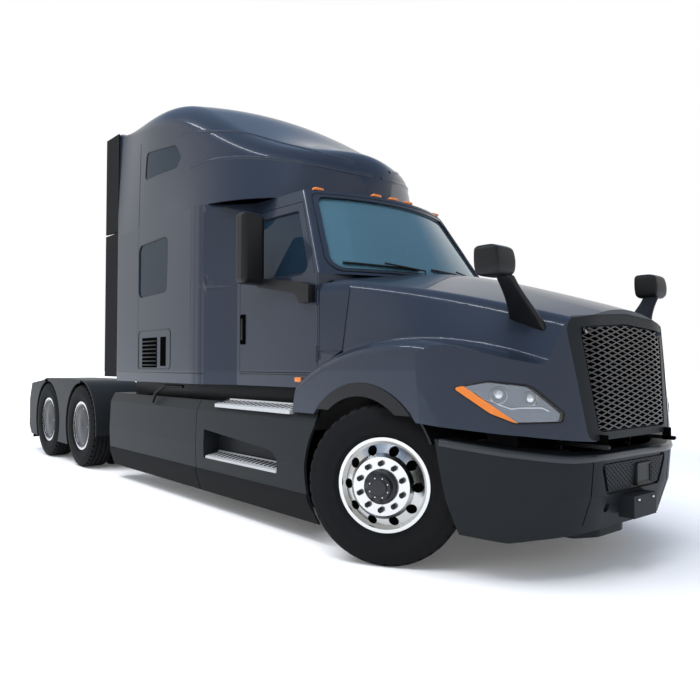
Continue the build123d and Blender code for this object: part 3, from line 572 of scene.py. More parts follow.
# %% Nut and ring of nuts
def nut(name, radius, height):
    fresh()
    bpy.ops.mesh.primitive_cylinder_add(
        vertices=6, radius=radius, depth=height, rotation=(math.pi / 2, 0, 0))
    piece = bpy.context.object
    piece.name = name
    freeze()
    sink(piece, lambda centre, normal: normal.y > 0.9, radius * 0.18, (0, height * 0.35, 0))
    bpy.ops.mesh.inset(thickness=radius * 0.35)
    bpy.ops.transform.translate(value=(0, height * 0.15, 0))
    fresh()
    return piece


BOLT_CIRCLE = 0.1429
NUT_Y = 0.165


def nut_ring(name, radius, height, y, count=10, circle=BOLT_CIRCLE):
    first = nut(name, radius, height)
    ring = []
    for i in range(count):
        angle = 2 * math.pi * (i + 0.5) / count
        spot = (circle * math.cos(angle), y + height / 2, circle * math.sin(angle))
        ring.append(place(copy_of(first, "nut"), spot))
    discard(first)
    return join(name, *ring)


# %% [markdown]
# The oil cap is a stepped line spun round the axle, with eight small bolts on
# it. Nuts, cap and bolts are copied to both front wheels, turned half round
# on the right side and steered like the tyres.

# %% Nuts and caps in place
hub_cap_line = [
    # radius, distance out from the middle of the tyre
    (0.0, 0.2285), (0.040, 0.2285), (0.047, 0.2275), (0.053, 0.2205), (0.073, 0.2165),
    (0.0855, 0.1965), (0.0955, 0.1925), (0.1085, 0.1795), (0.1085, 0.1655),
]


def on_front_wheels(piece, slot, look=None):
    for side, sign in SIDES:
        turn = STEER_TURN if sign > 0 else STEER_TURN + math.pi
        twin = place(copy_of(piece, piece.name + "_" + side), middle_of("front_tyre_" + side), turn)
        settle(twin, side + "_front_wheel", slot, look=look)
    print(piece.name, "on both front wheels, faces:", len(piece.data.polygons))
    discard(piece)


on_front_wheels(nut_ring("wheel_nuts", 0.0185, 0.026, NUT_Y), "black")
on_front_wheels(lathe("hub_cap", hub_cap_line, 64), "wheel_cover")
on_front_wheels(nut_ring("cap_bolts", 0.006, 0.006, 0.215, count=8, circle=0.062), "alloy")

# %% [markdown]
# Seen through the hand holes is the brake drum, a dark ring inside the rim. Its
# near-black finish is its own dark metal and painted shade inside the wheel. It
# is a closed line spun round the axle.

# %% Brake drums
drum_line = [(0.128, 0.100), (0.252, 0.100), (0.260, 0.092), (0.260, -0.05), (0.128, -0.05), (0.128, 0.100)]
# near black: the drum's own dark metal and painted shade inside the wheel
on_front_wheels(lathe("brake_drum", drum_line, 48), "frame", look="painted_shade_and_joints")

# %% [markdown]
# The drive wheels wear smooth dark covers, dished a little, that leave only a
# ring of the bright rim in sight. The cover is a line spun round the axle.

# %% Wheel covers
RIM_FACE = 0.2645
COVER_OUT = RIM_FACE + 0.003
cover_dish = [
    # radius, height over the rim's face
    (0.0, 0.036), (0.06, 0.034), (0.075, 0.03), (0.18, 0.021), (0.25, 0.009), (0.262, 0.004), (0.262, -0.004),
]
cover = lathe("wheel_cover", [(r, COVER_OUT + high) for r, high in cover_dish], 72)
cover_bolts = nut_ring("cover_bolts", 0.008, 0.006, COVER_OUT + 0.012, count=5, circle=0.225)
for side, sign in SIDES:
    for number in (1, 2):
        low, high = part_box("drive_wheel_%d_%s" % (number, side))
        tyres_low, tyres_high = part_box("drive_tyres_%d_%s" % (number, side))
        spot = Vector(((low.x + high.x) / 2, (tyres_low.y + tyres_high.y) / 2, AXLE_Z))
        turn = 0 if sign > 0 else math.pi
        body = "%s_drive_wheel_%d" % (side, number)
        settle(place(copy_of(cover, "cover_%d_%s" % (number, side)), spot, turn), body, "wheel_cover")
        settle(place(copy_of(cover_bolts, "cover_bolts_%d_%s" % (number, side)), spot, turn), body, "alloy")
        print("cover on", body)
discard(cover, cover_bolts)

# %% [markdown]
# ## Grille mesh
#
# The grille is a lattice of flat diamonds. A grid gives the cells: poking each
# face to a point and dissolving the straight edges turns squares into
# diamonds. Each diamond is inset and its middle deleted, which leaves the
# bars. Bisecting planes trim the sheet to the opening, a shrinkwrap lays it
# on the curved panel of the CAD grille, and a solidify gives it depth.


# %% Diamond lattice
def diamond_sheet(name, low, high, columns, rows, bar):
    fresh()
    bpy.ops.mesh.primitive_grid_add(x_subdivisions=columns, y_subdivisions=rows, size=1)
    piece = bpy.context.object
    piece.name = name
    piece.rotation_euler = (math.pi / 2, 0, math.pi / 2)
    piece.scale = (high[0] - low[0], high[1] - low[1], 1)
    piece.location = (0, (low[0] + high[0]) / 2, (low[1] + high[1]) / 2)
    freeze()
    edit(piece)
    bpy.ops.mesh.poke()
    choose_none(piece, "EDGE")
    spots = piece.data.vertices
    for edge in piece.data.edges:
        a, b = (spots[i].co for i in edge.vertices)
        edge.select = min(abs(a.y - b.y), abs(a.z - b.z)) < 0.0005
    bpy.ops.object.mode_set(mode="EDIT")
    bpy.ops.mesh.dissolve_edges(use_verts=False)
    bpy.ops.mesh.select_mode(type="FACE")
    bpy.ops.mesh.select_all(action="SELECT")
    if bar:
        bpy.ops.mesh.inset(thickness=bar / 2, use_individual=True)
        bpy.ops.mesh.delete(type="FACE")
    fresh()
    return piece


def trim_sheet(piece, corners):
    """Cuts away what lies outside a convex outline of (y, z) corners, anticlockwise from the front."""
    for (y0, z0), (y1, z1) in zip(corners, corners[1:] + corners[:1]):
        edit(piece)
        bpy.ops.mesh.bisect(plane_co=(0, y0, z0), plane_no=(0, z1 - z0, y0 - y1), clear_outer=True)
    fresh()


def lay_on(piece, node, front, lift):
    pick(piece)
    piece.location.x = front
    freeze()
    use_modifier(piece, "SHRINKWRAP", target=NODES[node], wrap_method="PROJECT", use_project_x=True,
                 use_negative_direction=True, use_positive_direction=False, offset=lift)


# %% [markdown]
# The tall grille has a near-black sheet close to the panel, painted shade that
# makes the openings look deep, and the glossy bars in front of it.

# %% Grille in the nose
NOSE_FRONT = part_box("grille")[1].x + 0.2
GRILLE_LOW, GRILLE_HIGH = (-0.55, 0.85), (0.55, 1.55)
GRILLE_BAR = 0.008
grille_outline = [(-0.400, 0.880), (0.400, 0.880), (0.487, 1.478), (0.0, 1.508), (-0.487, 1.478)]
# a near-black sheet behind the bars: painted shade in the openings
shade_sheet = diamond_sheet("grille_painted_shade_sheet", GRILLE_LOW, GRILLE_HIGH, 18, 12, 0)
trim_sheet(shade_sheet, grille_outline)
lay_on(shade_sheet, "grille", NOSE_FRONT, 0.003)
settle(shade_sheet, "nose", "black", look="painted_shade_and_joints")
bars = diamond_sheet("grille_mesh", GRILLE_LOW, GRILLE_HIGH, 9, 21, GRILLE_BAR)
trim_sheet(bars, grille_outline)
lay_on(bars, "grille", NOSE_FRONT, 0.009)
use_modifier(bars, "SOLIDIFY", thickness=0.014, offset=1.0)
settle(bars, "nose", "black", angle=25, look="bars")
print("grille mesh faces:", len(bars.data.polygons))

# %% [markdown]
# The lower opening in the bumper holds the same lattice, finer and closed
# behind, with a square sensor housing set into it.

# %% Lower grille and sensor
low_outline = [(-0.305, 0.516), (0.305, 0.516), (0.372, 0.682), (-0.372, 0.682)]
low_bars = diamond_sheet("lower_mesh", (-0.44, 0.49), (0.44, 0.71), 21, 8, 0.013)
trim_sheet(low_bars, low_outline)
lay_on(low_bars, "bumper_grille", NOSE_FRONT, 0.002)
use_modifier(low_bars, "SOLIDIFY", thickness=0.010, offset=1.0)
settle(low_bars, "chassis", "trim", angle=25)
sensor_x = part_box("bumper_grille")[1].x
sensor = block("radar_box", (sensor_x - 0.06, 0.0, 0.520), (sensor_x + 0.022, 0.19, 0.660), 0.008, 3)
sink(sensor, lambda centre, normal: normal.x > 0.9, 0.016, (-0.010, 0, 0))
settle(sensor, "chassis", "black")
print("lower mesh faces:", len(low_bars.data.polygons))

# %% [markdown]
# ## Skins and seals
#
# Lamps and panes follow the CAD surfaces exactly, so they start as copies of
# CAD nodes: the copy is merged, only its outer faces are kept, and what is
# left is an open skin. Its border, turned into a thin tube, is a rubber seal.


# %% Skin helpers
def node_copy(node, name):
    twin = copy_of(NODES[node], name)
    twin.parent = None
    for key in list(twin.keys()):
        del twin[key]
    edit(twin)
    weld()
    fresh()
    return twin


def keep_faces(piece, test):
    choose(piece, lambda centre, normal: not test(centre, normal))
    bpy.ops.mesh.delete(type="FACE")
    fresh()


def keep_border(skin):
    """Leaves only the border of a skin, in edit mode."""
    edit(skin, "FACE")
    bpy.ops.mesh.region_to_loop()
    bpy.ops.mesh.select_all(action="INVERT")
    bpy.ops.mesh.delete(type="EDGE")


def border_tube(skin, name, radius):
    border = copy_of(skin, name)
    keep_border(border)
    bpy.ops.mesh.select_mode(type="VERT")
    weld(radius)
    return tube(border, radius, 1, caps=False)


def seal(node, name, body, radius, test):
    skin = node_copy(node, name + "_skin")
    keep_faces(skin, test)
    rubber = border_tube(skin, name, radius)
    discard(skin)
    return settle(rubber, body, "black")


# %% [markdown]
# A windscreen is glued in, with a rubber edge and a black band round it that
# hides the glue. The band starts from the border of the pane: the loop is
# extruded, made larger about the middle of the pane, drawn on to the cab by a
# shrinkwrap and given a thickness.

# %% Windscreen seal and band
BAND_SCALE = (1.08, 1.045, 1.08)
BAND_THICK = 0.004


def screen_front(centre, normal):
    return normal.x > 0.35


seal("windscreen", "windscreen_seal", "chassis", 0.011, screen_front)
band = node_copy("windscreen", "windscreen_band")
keep_faces(band, screen_front)
keep_border(band)
bpy.ops.mesh.select_mode(type="EDGE")
bpy.ops.mesh.select_all(action="SELECT")
bpy.ops.mesh.extrude_edges_move()
bpy.ops.transform.resize(value=BAND_SCALE, center_override=middle_of("windscreen"))
fresh()
use_modifier(band, "SHRINKWRAP", target=NODES["cab_shell"], wrap_method="NEAREST_SURFACEPOINT",
             wrap_mode="OUTSIDE_SURFACE", offset=BAND_THICK)
use_modifier(band, "SOLIDIFY", thickness=BAND_THICK, offset=0.0)
settle(band, "chassis", "black")
print("windscreen band faces:", len(band.data.polygons))

# %% [markdown]
# The panes of the sleeper and the doors have a thinner rubber edge. The seals
# of the doors ride on the doors.

# %% Side seals
PANE_SEAL = 0.008
seal("sleeper_windows", "sleeper_window_seals", "chassis", PANE_SEAL, lambda c, n: n.y * c.y > 0.4)
for side, sign in SIDES:
    name = "door_glass_" + side
    seal(name, "door_glass_seal_" + side, side + "_door", PANE_SEAL, lambda c, n: n.y * c.y > 0.3)
print("side seals on 3 bodies")

# %% [markdown]
# ## Headlamps
#
# The lens is the outer skin of the CAD lamp made thin. Behind it lies a bright
# reflector, the same skin pushed back, with two bowls and a line of light set
# into it. An amber strip runs along the lower outer edge, and a dark bead
# closes the outline. Places on the lamp are given along it and up it.

# %% Headlamp frame of reference
LAMP_AT = at(0.930, -0.900, 1.070)
LAMP_ALONG = Vector((0.755, 0.656, 0.0))
LAMP_OUT = Vector((0.656, -0.755, 0.0))
lamp_skin = node_copy("headlamps", "lamp_skin")
keep_faces(lamp_skin, lambda c, n: c.y < 0 and n.dot(LAMP_OUT) > 0.35)


def lamp_point(u, v):
    return LAMP_AT + LAMP_ALONG * u + Vector((0, 0, v))


def lamp_surface(u, v):
    """The point of the lens at that place along and up the lamp."""
    found, spot, normal, face = lamp_skin.ray_cast(lamp_point(u, v) + LAMP_OUT * 0.5, -LAMP_OUT)
    return spot


print("lamp skin faces:", len(lamp_skin.data.polygons))

# %% [markdown]
# Lens, reflector and bead are three copies of the same skin: one made thick,
# one moved back and one turned into a tube along its border.

# %% Lens, reflector and bead
LENS_THICK = 0.004
REFLECTOR_BACK = 0.022
BEAD_R = 0.006
lens = copy_of(lamp_skin, "lamp_lens_right")
use_modifier(lens, "SOLIDIFY", thickness=LENS_THICK, offset=-1.0)
reflector = place(copy_of(lamp_skin, "lamp_reflector_right"), LAMP_OUT * -REFLECTOR_BACK)
bead = border_tube(lamp_skin, "lamp_bead_right", BEAD_R)
print("bead faces:", len(bead.data.polygons))

# %% [markdown]
# A bowl and the eye in it are lines spun round the beam. The line of light is
# a rod drawn through points just behind the lens.

# %% Lamp bowls and line of light
INSIDE_BACK = 0.014
bowl_line = [
    # radius, distance out along the beam
    (0.0, -0.045), (0.03, -0.04), (0.05, -0.02), (0.06, 0.0), (0.066, 0.006), (0.07, 0.0), (0.066, -0.01),
]
eye_line = [(0.0, 0.012), (0.018, 0.008), (0.028, -0.006), (0.028, -0.03)]
guide_line = ((-0.20, 0.040), (-0.15, -0.004), (0.0, -0.056), (0.04, -0.050), (0.17, -0.050), (0.21, -0.070))
bowls = []
for u, v, size in ((-0.07, 0.020, 0.74), (0.105, 0.000, 0.62)):
    bowl = lathe("lamp_bowl", [(r * size, y * size) for r, y in bowl_line], 40)
    eye = lathe("lamp_eye", eye_line, 24)
    cup = join("lamp_bowl", bowl, eye)
    turn = math.atan2(-LAMP_OUT.x, LAMP_OUT.y)
    bowls.append(place(cup, lamp_surface(u, v) - LAMP_OUT * INSIDE_BACK, turn))
bowls = join("lamp_bowls_right", *bowls)
guide_spots = [lamp_surface(u, v) - LAMP_OUT * INSIDE_BACK for u, v in guide_line]
guide = rod("lamp_guide_right", guide_spots, 0.006, 8)
print("lamp bowl faces:", len(bowls.data.polygons))

# %% [markdown]
# The amber strip is one more copy of the skin, cut off along a slanting plane
# and made thick outwards, so that it covers the clear lens.

# %% Amber strip
STRIP_CORNER = (-0.330, 0.062)
STRIP_ACROSS = (0.144, 0.210)
STRIP_WIDTH = 0.044
strip = copy_of(lamp_skin, "lamp_amber_right")
across = (LAMP_ALONG * STRIP_ACROSS[0] + Vector((0, 0, STRIP_ACROSS[1]))).normalized()
edge = lamp_point(*STRIP_CORNER) + across * STRIP_WIDTH
edit(strip)
bpy.ops.mesh.bisect(plane_co=edge, plane_no=across, clear_outer=True)
fresh()
use_modifier(strip, "SOLIDIFY", thickness=0.005, offset=1.0)
print("amber strip faces:", len(strip.data.polygons))

# %% [markdown]
# The left lamp is the mirror image of the right one, and both ride on the
# nose. The CAD skin has long thin triangles at its corners, which shade badly;
# normals weighted by the size of the faces put that right.

# %% Lamps on both sides
lamp_pieces = (
    (lens, "lamp_clear"), (reflector, "alloy"), (bowls, "alloy"), (guide, "alloy"), (bead, "black"),
    (strip, "lamp_amber"),
)
for piece, slot in lamp_pieces:
    left = mirrored(piece, piece.name.replace("right", "left"))
    look = "reflector" if piece is reflector else slot
    settle(piece, "nose", slot, *(["headlamps"] if piece is lens else []), look=look)
    settle(left, "nose", slot, look=look)
    if piece in (lens, reflector, strip):
        use_modifier(piece, "WEIGHTED_NORMAL", keep_sharp=True)
        use_modifier(left, "WEIGHTED_NORMAL", keep_sharp=True)
discard(lamp_skin)
print("lamp pieces on each side:", len(lamp_pieces))

# %% [markdown]
# ## Marker lamps
#
# Five amber lamps sit on the front edge of the cab roof, and one on each side
# of the cab behind the hood. Each is a small block with generous round edges.

# %% Roof and side markers
markers = []
roof_low, roof_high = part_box("roof_lamps")
for y in (-0.70, -0.19, 0.0, 0.19, 0.70):
    # the roof's front edge runs back in a curve towards the sides
    x = at(-0.92 - 0.22 * (y / 0.815) ** 2, 0, 0).x
    low = (x - 0.058, y - 0.046, roof_low.z)
    high = (x - 0.002, y + 0.046, roof_high.z)
    markers.append(block("marker", low, high, 0.011, 3))
settle(join("roof_markers", *markers), "chassis", "lamp_amber", "roof_lamps")
for side, sign in SIDES:
    lamp = side_block("side_marker_" + side, sign, (-0.925, -0.845), (1.046, 1.066), (1.130, 1.168), 0.008, 3)
    settle(lamp, "chassis", "lamp_amber")
print("roof markers:", len(markers))

# %% [markdown]
# ## Side panels
#
# A fine dark line runs along the foot of the cab and sleeper, and dark shields
# close the view under them and behind the front wheel. The shield in the wheel
# house is near black, painted shade. All are flat blocks on both sides, given
# by their length, height and depth.


# %% Slabs on both sides
def slab(name, x0, x1, z0, z1, y, out, slot, look=None, width=0.003):
    """A flat piece on both sides of the cab, from depth y outwards."""
    for side, sign in SIDES:
        piece = side_block(name + "_" + side, sign, (x0, x1), (y, y + out), (z0, z1), width)
        settle(piece, "chassis", slot, look=look)


SLEEPER_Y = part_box("sleeper_shell")[1].y
CAB_Y = 1.05
SEAM_SUNK = 0.004
FINE = 0.001
slab("sleeper_foot", -4.02, -2.13, 1.182, 1.190, SLEEPER_Y - SEAM_SUNK, 0.0048, "black", width=FINE)
slab("cab_foot", -1.74, -0.66, 1.182, 1.190, CAB_Y - SEAM_SUNK, 0.0048, "black", width=FINE)
slab("under_shield", -4.17, -0.78, 0.93, 1.10, 0.93, 0.02, "black", look="trim")
# a near-black sheet in the wheel house: painted shade
slab("wheel_house", -0.72, -0.705, 0.22, 1.09, 0.46, 0.72, "black", look="painted_shade_and_joints")
print("foot lines and shields on both sides, sleeper half width", round(SLEEPER_Y, 3))

# %% [markdown]
# Rubber skirts hang along the lower edge of the fairings and lean in towards
# the road. Each is a bar with a bent outline. The front end of the step
# skirt slants forward beside the wheel, so the corners there are moved.

# %% Skirts
skirt_edge = [
    # distance from the middle, height
    (1.150, 0.150), (1.166, 0.150), (1.2145, 0.300), (1.2175, 0.348), (1.2090, 0.352), (1.2000, 0.300),
]


def side_bar(name, sign, edge, x0, x1):
    """A bar on one side, from its outline in distance from the middle and height."""
    return bar(name, [(sign * y, z) for y, z in edge], at(x0, 0, 0).x, at(x1, 0, 0).x)


for side, sign in SIDES:
    for name, x0, x1 in (("tank", -4.24, -2.212), ("step", -2.196, -0.566)):
        skirt = side_bar(name + "_skirt_" + side, sign, skirt_edge, x0, x1)
        if name == "step":
            nudge(skirt, lambda v: v.x > at(-1, 0, 0).x and v.z < 0.2, (0.084, 0, 0))
            nudge(skirt, lambda v: v.x > at(-1, 0, 0).x and 0.2 < v.z < 0.32, (0.015, 0, 0))
        settle(skirt, "chassis", "black", look="tyre")
        print("skirt", skirt.name, "faces:", len(skirt.data.polygons))

# %% [markdown]
# The sleeper carries a hatch with louvres: a fine seam with cut corners, a
# well with seven slats across it, and a slot beside the well. Well and slot are
# near black, painted shade.

# %% Louvred hatch
WELL_SUNK, WELL_DEEP = 0.012, 0.0135
SLATS = 7
for name, x0, x1, z0 in (("hatch_well", -3.385, -3.03, 1.235), ("hatch_slot", -2.955, -2.83, 1.250)):
    # well and slot are near black: painted shade in the recesses
    slab(name, x0, x1, z0, 1.535, SLEEPER_Y - WELL_SUNK, WELL_DEEP, "black", look="painted_shade_and_joints", width=FINE)
for side, sign in SIDES:
    y = sign * (SLEEPER_Y + 0.0005)
    x0, x1, z0, z1, r = -3.475, -2.735, 1.222, 1.607, 0.03
    loop = [at(x0 + r, y, z0), at(x1 - r, y, z0), at(x1, y, z0 + r), at(x1, y, z1 - r), at(x1 - r, y, z1),
            at(x0 + r, y, z1), at(x0, y, z1 - r), at(x0, y, z0 + r), at(x0 + r, y, z0)]
    settle(rod("hatch_seam_" + side, loop, 0.004, 8), "chassis", "black")
    slats = []
    for i in range(SLATS):
        z = 1.254 + i * 0.0395
        y = (SLEEPER_Y - 0.004, SLEEPER_Y + 0.008)
        slats.append(side_block("slat", sign, (-3.38, -3.035), y, (z, z + 0.013), 0.003))
    settle(join("hatch_slats_" + side, *slats), "chassis", "trim")
    print("hatch on the", side, "with", len(slats), "slats")

# %% [markdown]
# Upright seams part the panels of the sleeper. A seam is a thin dark slab that
# stands out of the panel by less than a millimetre.

# %% Panel seams
SEAM_OUT = 0.0046
slab("sleeper_seam", -3.505, -3.497, 1.19, 2.68, SLEEPER_Y - SEAM_SUNK, SEAM_OUT, "black", width=FINE)
slab("cab_seam", -2.334, -2.326, 1.19, 2.68, SLEEPER_Y - SEAM_SUNK, SEAM_OUT, "black", width=FINE)
print("seams stand out by", round(SEAM_OUT - SEAM_SUNK, 4))

# %% [markdown]
# ## Sleeper corners
#
# Where the sleeper draws in to the width of the cab, the panel bends in a
# wide round. The CAD shell has a plain edge there. A bevel would need one
# clean edge, and this shell is cut by windows, so the merged copy is sliced by
# a few upright planes instead, and the corners on each slice are moved inwards
# on to a smooth curve.

# %% Rounded sleeper
BEND_X = at(-2.120, 0, 0).x
BEND_REACH = 0.20
BEND_SLOPE = 168 / 330
BEND_CUTS = 6


def flank_at(x):
    """Half width of the CAD sleeper at that length."""
    return SLEEPER_Y - max(0.0, x - BEND_X) * BEND_SLOPE


sleeper = node_copy("sleeper_shell", "rounded_sleeper")
for cut in range(-BEND_CUTS, BEND_CUTS + 1):
    x = BEND_X + BEND_REACH * cut / BEND_CUTS
    if cut:
        edit(sleeper)
        bpy.ops.mesh.bisect(plane_co=(x, 0, 0), plane_no=(1, 0, 0))
        fresh()
    share = (cut / BEND_CUTS + 1) / 2
    drop = share ** 2 * BEND_REACH * BEND_SLOPE - max(0.0, x - BEND_X) * BEND_SLOPE
    for side, sign in SIDES:
        def on_slice(v):
            return abs(v.x - x) < 0.001 and v.y * sign > flank_at(x) - 0.003

        nudge(sleeper, on_slice, (0, -sign * drop, 0))
    print("sleeper slice", cut, "moved in by", round(drop, 4))
settle(sleeper, "chassis", "paint", "sleeper_shell", angle=20)
use_modifier(sleeper, "WEIGHTED_NORMAL", keep_sharp=True)

# %% [markdown]
# ## Roof creases
#
# Two long creases stiffen each flank of the roof and catch the light. Each is
# a thin tube laid on the roof and sunk for most of its thickness, so that
# only a soft ridge shows. The points between those of the table follow a
# smooth curve and are snapped to the nearest place on the CAD roof.


# %% Creases
def smooth_line(points, parts):
    """Points of a Catmull-Rom curve through the given ones."""
    spots = [Vector(p) for p in points]
    spots = [2 * spots[0] - spots[1], *spots, 2 * spots[-1] - spots[-2]]
    line = []
    for a, b, c, d in zip(spots, spots[1:], spots[2:], spots[3:]):
        for i in range(parts):
            t = i / parts
            bend = (2 * a - 5 * b + 4 * c - d) * t ** 2 + (3 * b - a - 3 * c + d) * t ** 3
            line.append(0.5 * (2 * b + (c - a) * t + bend))
    line.append(spots[-2])
    return line


CREASE_R = 0.026
CREASE_SUNK = 0.017
crease_points = {
    # x from the axle, distance from the middle, height
    "upper": [(-2.74, 1.176, 3.461), (-2.49, 1.144, 3.440), (-2.22, 1.079, 3.398), (-2.04, 0.974, 3.374),
              (-1.85, 0.760, 3.316), (-1.58, 0.583, 3.206), (-1.34, 0.438, 3.101), (-1.21, 0.212, 3.043)],
    "lower": [(-2.44, 1.170, 3.100), (-2.22, 1.132, 3.107), (-2.01, 1.073, 3.102), (-1.86, 1.008, 3.090),
              (-1.64, 0.864, 3.058), (-1.45, 0.680, 3.023), (-1.30, 0.469, 2.985), (-1.19, 0.255, 2.948),
              (-1.16, 0.05, 2.94)],
}
for name, points in crease_points.items():
    for side, sign in SIDES:
        line = []
        for spot in smooth_line([at(x, sign * y, z) for x, y, z in points], 4):
            found, near, normal, face = NODES["roof_fairing"].closest_point_on_mesh(spot)
            line.append(near - normal * CREASE_SUNK)
        settle(rod("roof_crease_%s_%s" % (name, side), line, CREASE_R, 24), "chassis", "paint", angle=60)
        print(name, "crease on the", side, "points:", len(line))

# %% [markdown]
# The rear seam of the sleeper goes on up over the side of the roof. Rays cast
# at the roof from the side give its points, and a thin dark rod, sunk for most
# of its thickness, is the seam.

# %% Roof seams
SEAM_X = -3.501
SEAM_ROD_SUNK = 0.0035


def side_hit(node, x, sign, z):
    """Where a ray from the side meets a CAD node: whether it does, the spot and the normal there."""
    return NODES[node].ray_cast(at(x, sign * 2.0, z), Vector((0, -sign, 0)))[:3]


for side, sign in SIDES:
    line = []
    for i in range(14):
        found, spot, normal = side_hit("roof_fairing", SEAM_X, sign, 2.70 + i * 0.068)
        if found:
            line.append(spot - normal * SEAM_ROD_SUNK)
    settle(rod("roof_seam_" + side, line, 0.006, 8), "chassis", "black")
    print("roof seam", side, "points:", len(line), "top z", round(line[-1].z, 3))

# %% [markdown]
# ## Hood cheeks
#
# At its back the hood flares out to meet the door. The cheek is bridged
# between two lines: one on the hood, found by casting rays at it from the
# side, and one along the door's front edge. It rides on the nose.


# %% Cheeks of the hood
def bridged(name, *lines):
    rails = []
    for line in lines:
        rails.append(draw_line(name, line))
        fresh()
    sheet = join(name, *rails)
    edit(sheet, "EDGE")
    bpy.ops.mesh.bridge_edge_loops()
    face_out()
    return sheet


CHEEK_FRONT, CHEEK_BACK = -0.40, -0.650
CHEEK_MOST = 1.045
for side, sign in SIDES:
    front, rear = [], []
    for i in range(11):
        z = 1.24 + i * 0.062
        found, spot, normal = side_hit("hood", CHEEK_FRONT, sign, z)
        front.append(spot + Vector((0, sign * 0.002, 0)))
        rear.append(at(CHEEK_BACK, sign * min(CHEEK_MOST, abs(spot.y) + 0.12), z))
    cheek = bridged("hood_cheek_" + side, front, rear)
    use_modifier(cheek, "SOLIDIFY", thickness=0.006, offset=0.0)
    settle(cheek, "nose", "paint")
    print("hood cheek", side, [round(abs(v.y), 3) for v in front])

# %% [markdown]
# The nose tilts on two lugs in front of the rails. Dark rubber boots, two
# blocks each, cover them; their near-black finish is their own rubber and
# painted shade in the gap. A near-black curtain behind the bumper, painted
# shade, closes the view through the gap under the hood.

# %% Hinge boots and curtain
LUG_Y = (0.390, 0.4125)
for side, sign in SIDES:
    upper = side_block("hinge_boot", sign, (1.183, 1.233), LUG_Y, (0.778, 0.858), 0.002)
    lower = side_block("hinge_boot", sign, (1.183, 1.257), LUG_Y, (0.778, 0.802), 0.002)
    boot = join("hinge_boot_" + side, upper, lower)
    # near black: the boots' own rubber and painted shade in the gap
    settle(boot, "nose", "black", look="painted_shade_and_joints")
# a near-black sheet behind the bumper: painted shade in the gap
shade_curtain = block("front_painted_shade_curtain", at(0.90, -0.80, 0.52), at(0.912, 0.80, 0.93), 0.003)
settle(shade_curtain, "chassis", "black", look="painted_shade_and_joints")
print("boots at", LUG_Y, "from the middle")

# %% [markdown]
# ## Door handles
#
# The handle is a tall oval paddle in a black cup. The cup is a block with its
# outer face inset and pushed in, the paddle a rounded block across it. The
# cup's near-black finish is its own black and painted shade in its recess.

# %% Handles
for side, sign in SIDES:
    y = (CAB_Y - 0.004, CAB_Y + 0.012)
    cup = side_block("handle_cup_" + side, sign, (-1.725, -1.655), y, (1.435, 1.69), 0.03, 5)
    sink(cup, lambda c, n: n.y * sign > 0.9, 0.010, (0, -sign * 0.010, 0))
    # near black: the cup's own black and painted shade in its recess
    settle(cup, side + "_door", "black", look="painted_shade_and_joints")
    y = (CAB_Y + 0.002, CAB_Y + 0.02)
    paddle = side_block("handle_paddle_" + side, sign, (-1.703, -1.677), y, (1.47, 1.655), 0.008, 3)
    settle(paddle, side + "_door", "black")
    print("handle on the", side, "door")

# %% [markdown]
# ## Wipers
#
# A wiper is an arm from the cowl and a blade on the glass. A ray cast against
# the pane gives the points to draw them through, a little off the surface.

# %% Wiper arms and blades
BLADE_PARTS = 8


def glass_point(y, z, off):
    found, spot, normal, face = NODES["windscreen"].ray_cast(at(0.5, y, z), Vector((-1, 0, 0)))
    return spot + normal * off


for name, root_y, tip_y in (("right", -0.16, -0.80), ("left", 0.62, 0.0)):
    shares = [i / BLADE_PARTS for i in range(BLADE_PARTS + 1)]
    line = [glass_point(root_y + (tip_y - root_y) * share, 2.012 + 0.02 * share, 0.012) for share in shares]
    settle(rod("wiper_blade_" + name, line, 0.009), "chassis", "black")
    middle = glass_point((root_y + tip_y) / 2, 2.03, 0.035)
    foot = glass_point(root_y + 0.05, 2.0, 0.03)
    root = Vector((foot.x + 0.01, foot.y, 1.965))
    settle(rod("wiper_arm_" + name, [root, foot, middle], 0.008), "chassis", "black")
    print("wiper on the", name, "from y", root_y, "to", tip_y)

# %% [markdown]
# ## Mirrors, wheel and steps
#
# The glass of a door mirror is a thin plate with round edges on the back of
# the CAD housing. It rides on the door.

# %% Mirror glass
for side, sign in SIDES:
    low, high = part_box("mirror_" + side)
    y_far = high.y if sign > 0 else -low.y
    low_y, high_y = sorted((sign * (y_far - 0.190), sign * (y_far - 0.022)))
    low_corner = (low.x - 0.002, low_y, 1.945)
    high_corner = (low.x + 0.012, high_y, 2.440)
    settle(block("mirror_glass_" + side, low_corner, high_corner, 0.02, 3), side + "_door", "alloy")
    print("mirror glass on the", side, "door")

# %% [markdown]
# A hood mirror has a deep rounded housing on a stalk that widens towards its
# foot. Both are towers of loops with four corners, one above the other, which
# are bridged and closed.

# %% Towers of loops
head_loops = [
    # x from, x to, distance of the inner and outer side, height: from the flat foot to the top
    (0.800, 0.915, 0.880, 1.010, 1.762), (0.772, 0.938, 0.860, 1.030, 1.782),
    (0.764, 0.944, 0.856, 1.034, 1.850), (0.764, 0.926, 0.858, 1.032, 1.925),
    (0.775, 0.880, 0.880, 1.010, 1.946),
]
stalk_loops = [
    # x from, x to, middle y, half thickness, height
    (0.748, 1.000, 0.640, 0.030, 1.455), (0.765, 0.985, 0.668, 0.030, 1.520),
    (0.800, 0.952, 0.745, 0.026, 1.620), (0.822, 0.938, 0.835, 0.024, 1.710),
    (0.826, 0.940, 0.895, 0.026, 1.775),
]


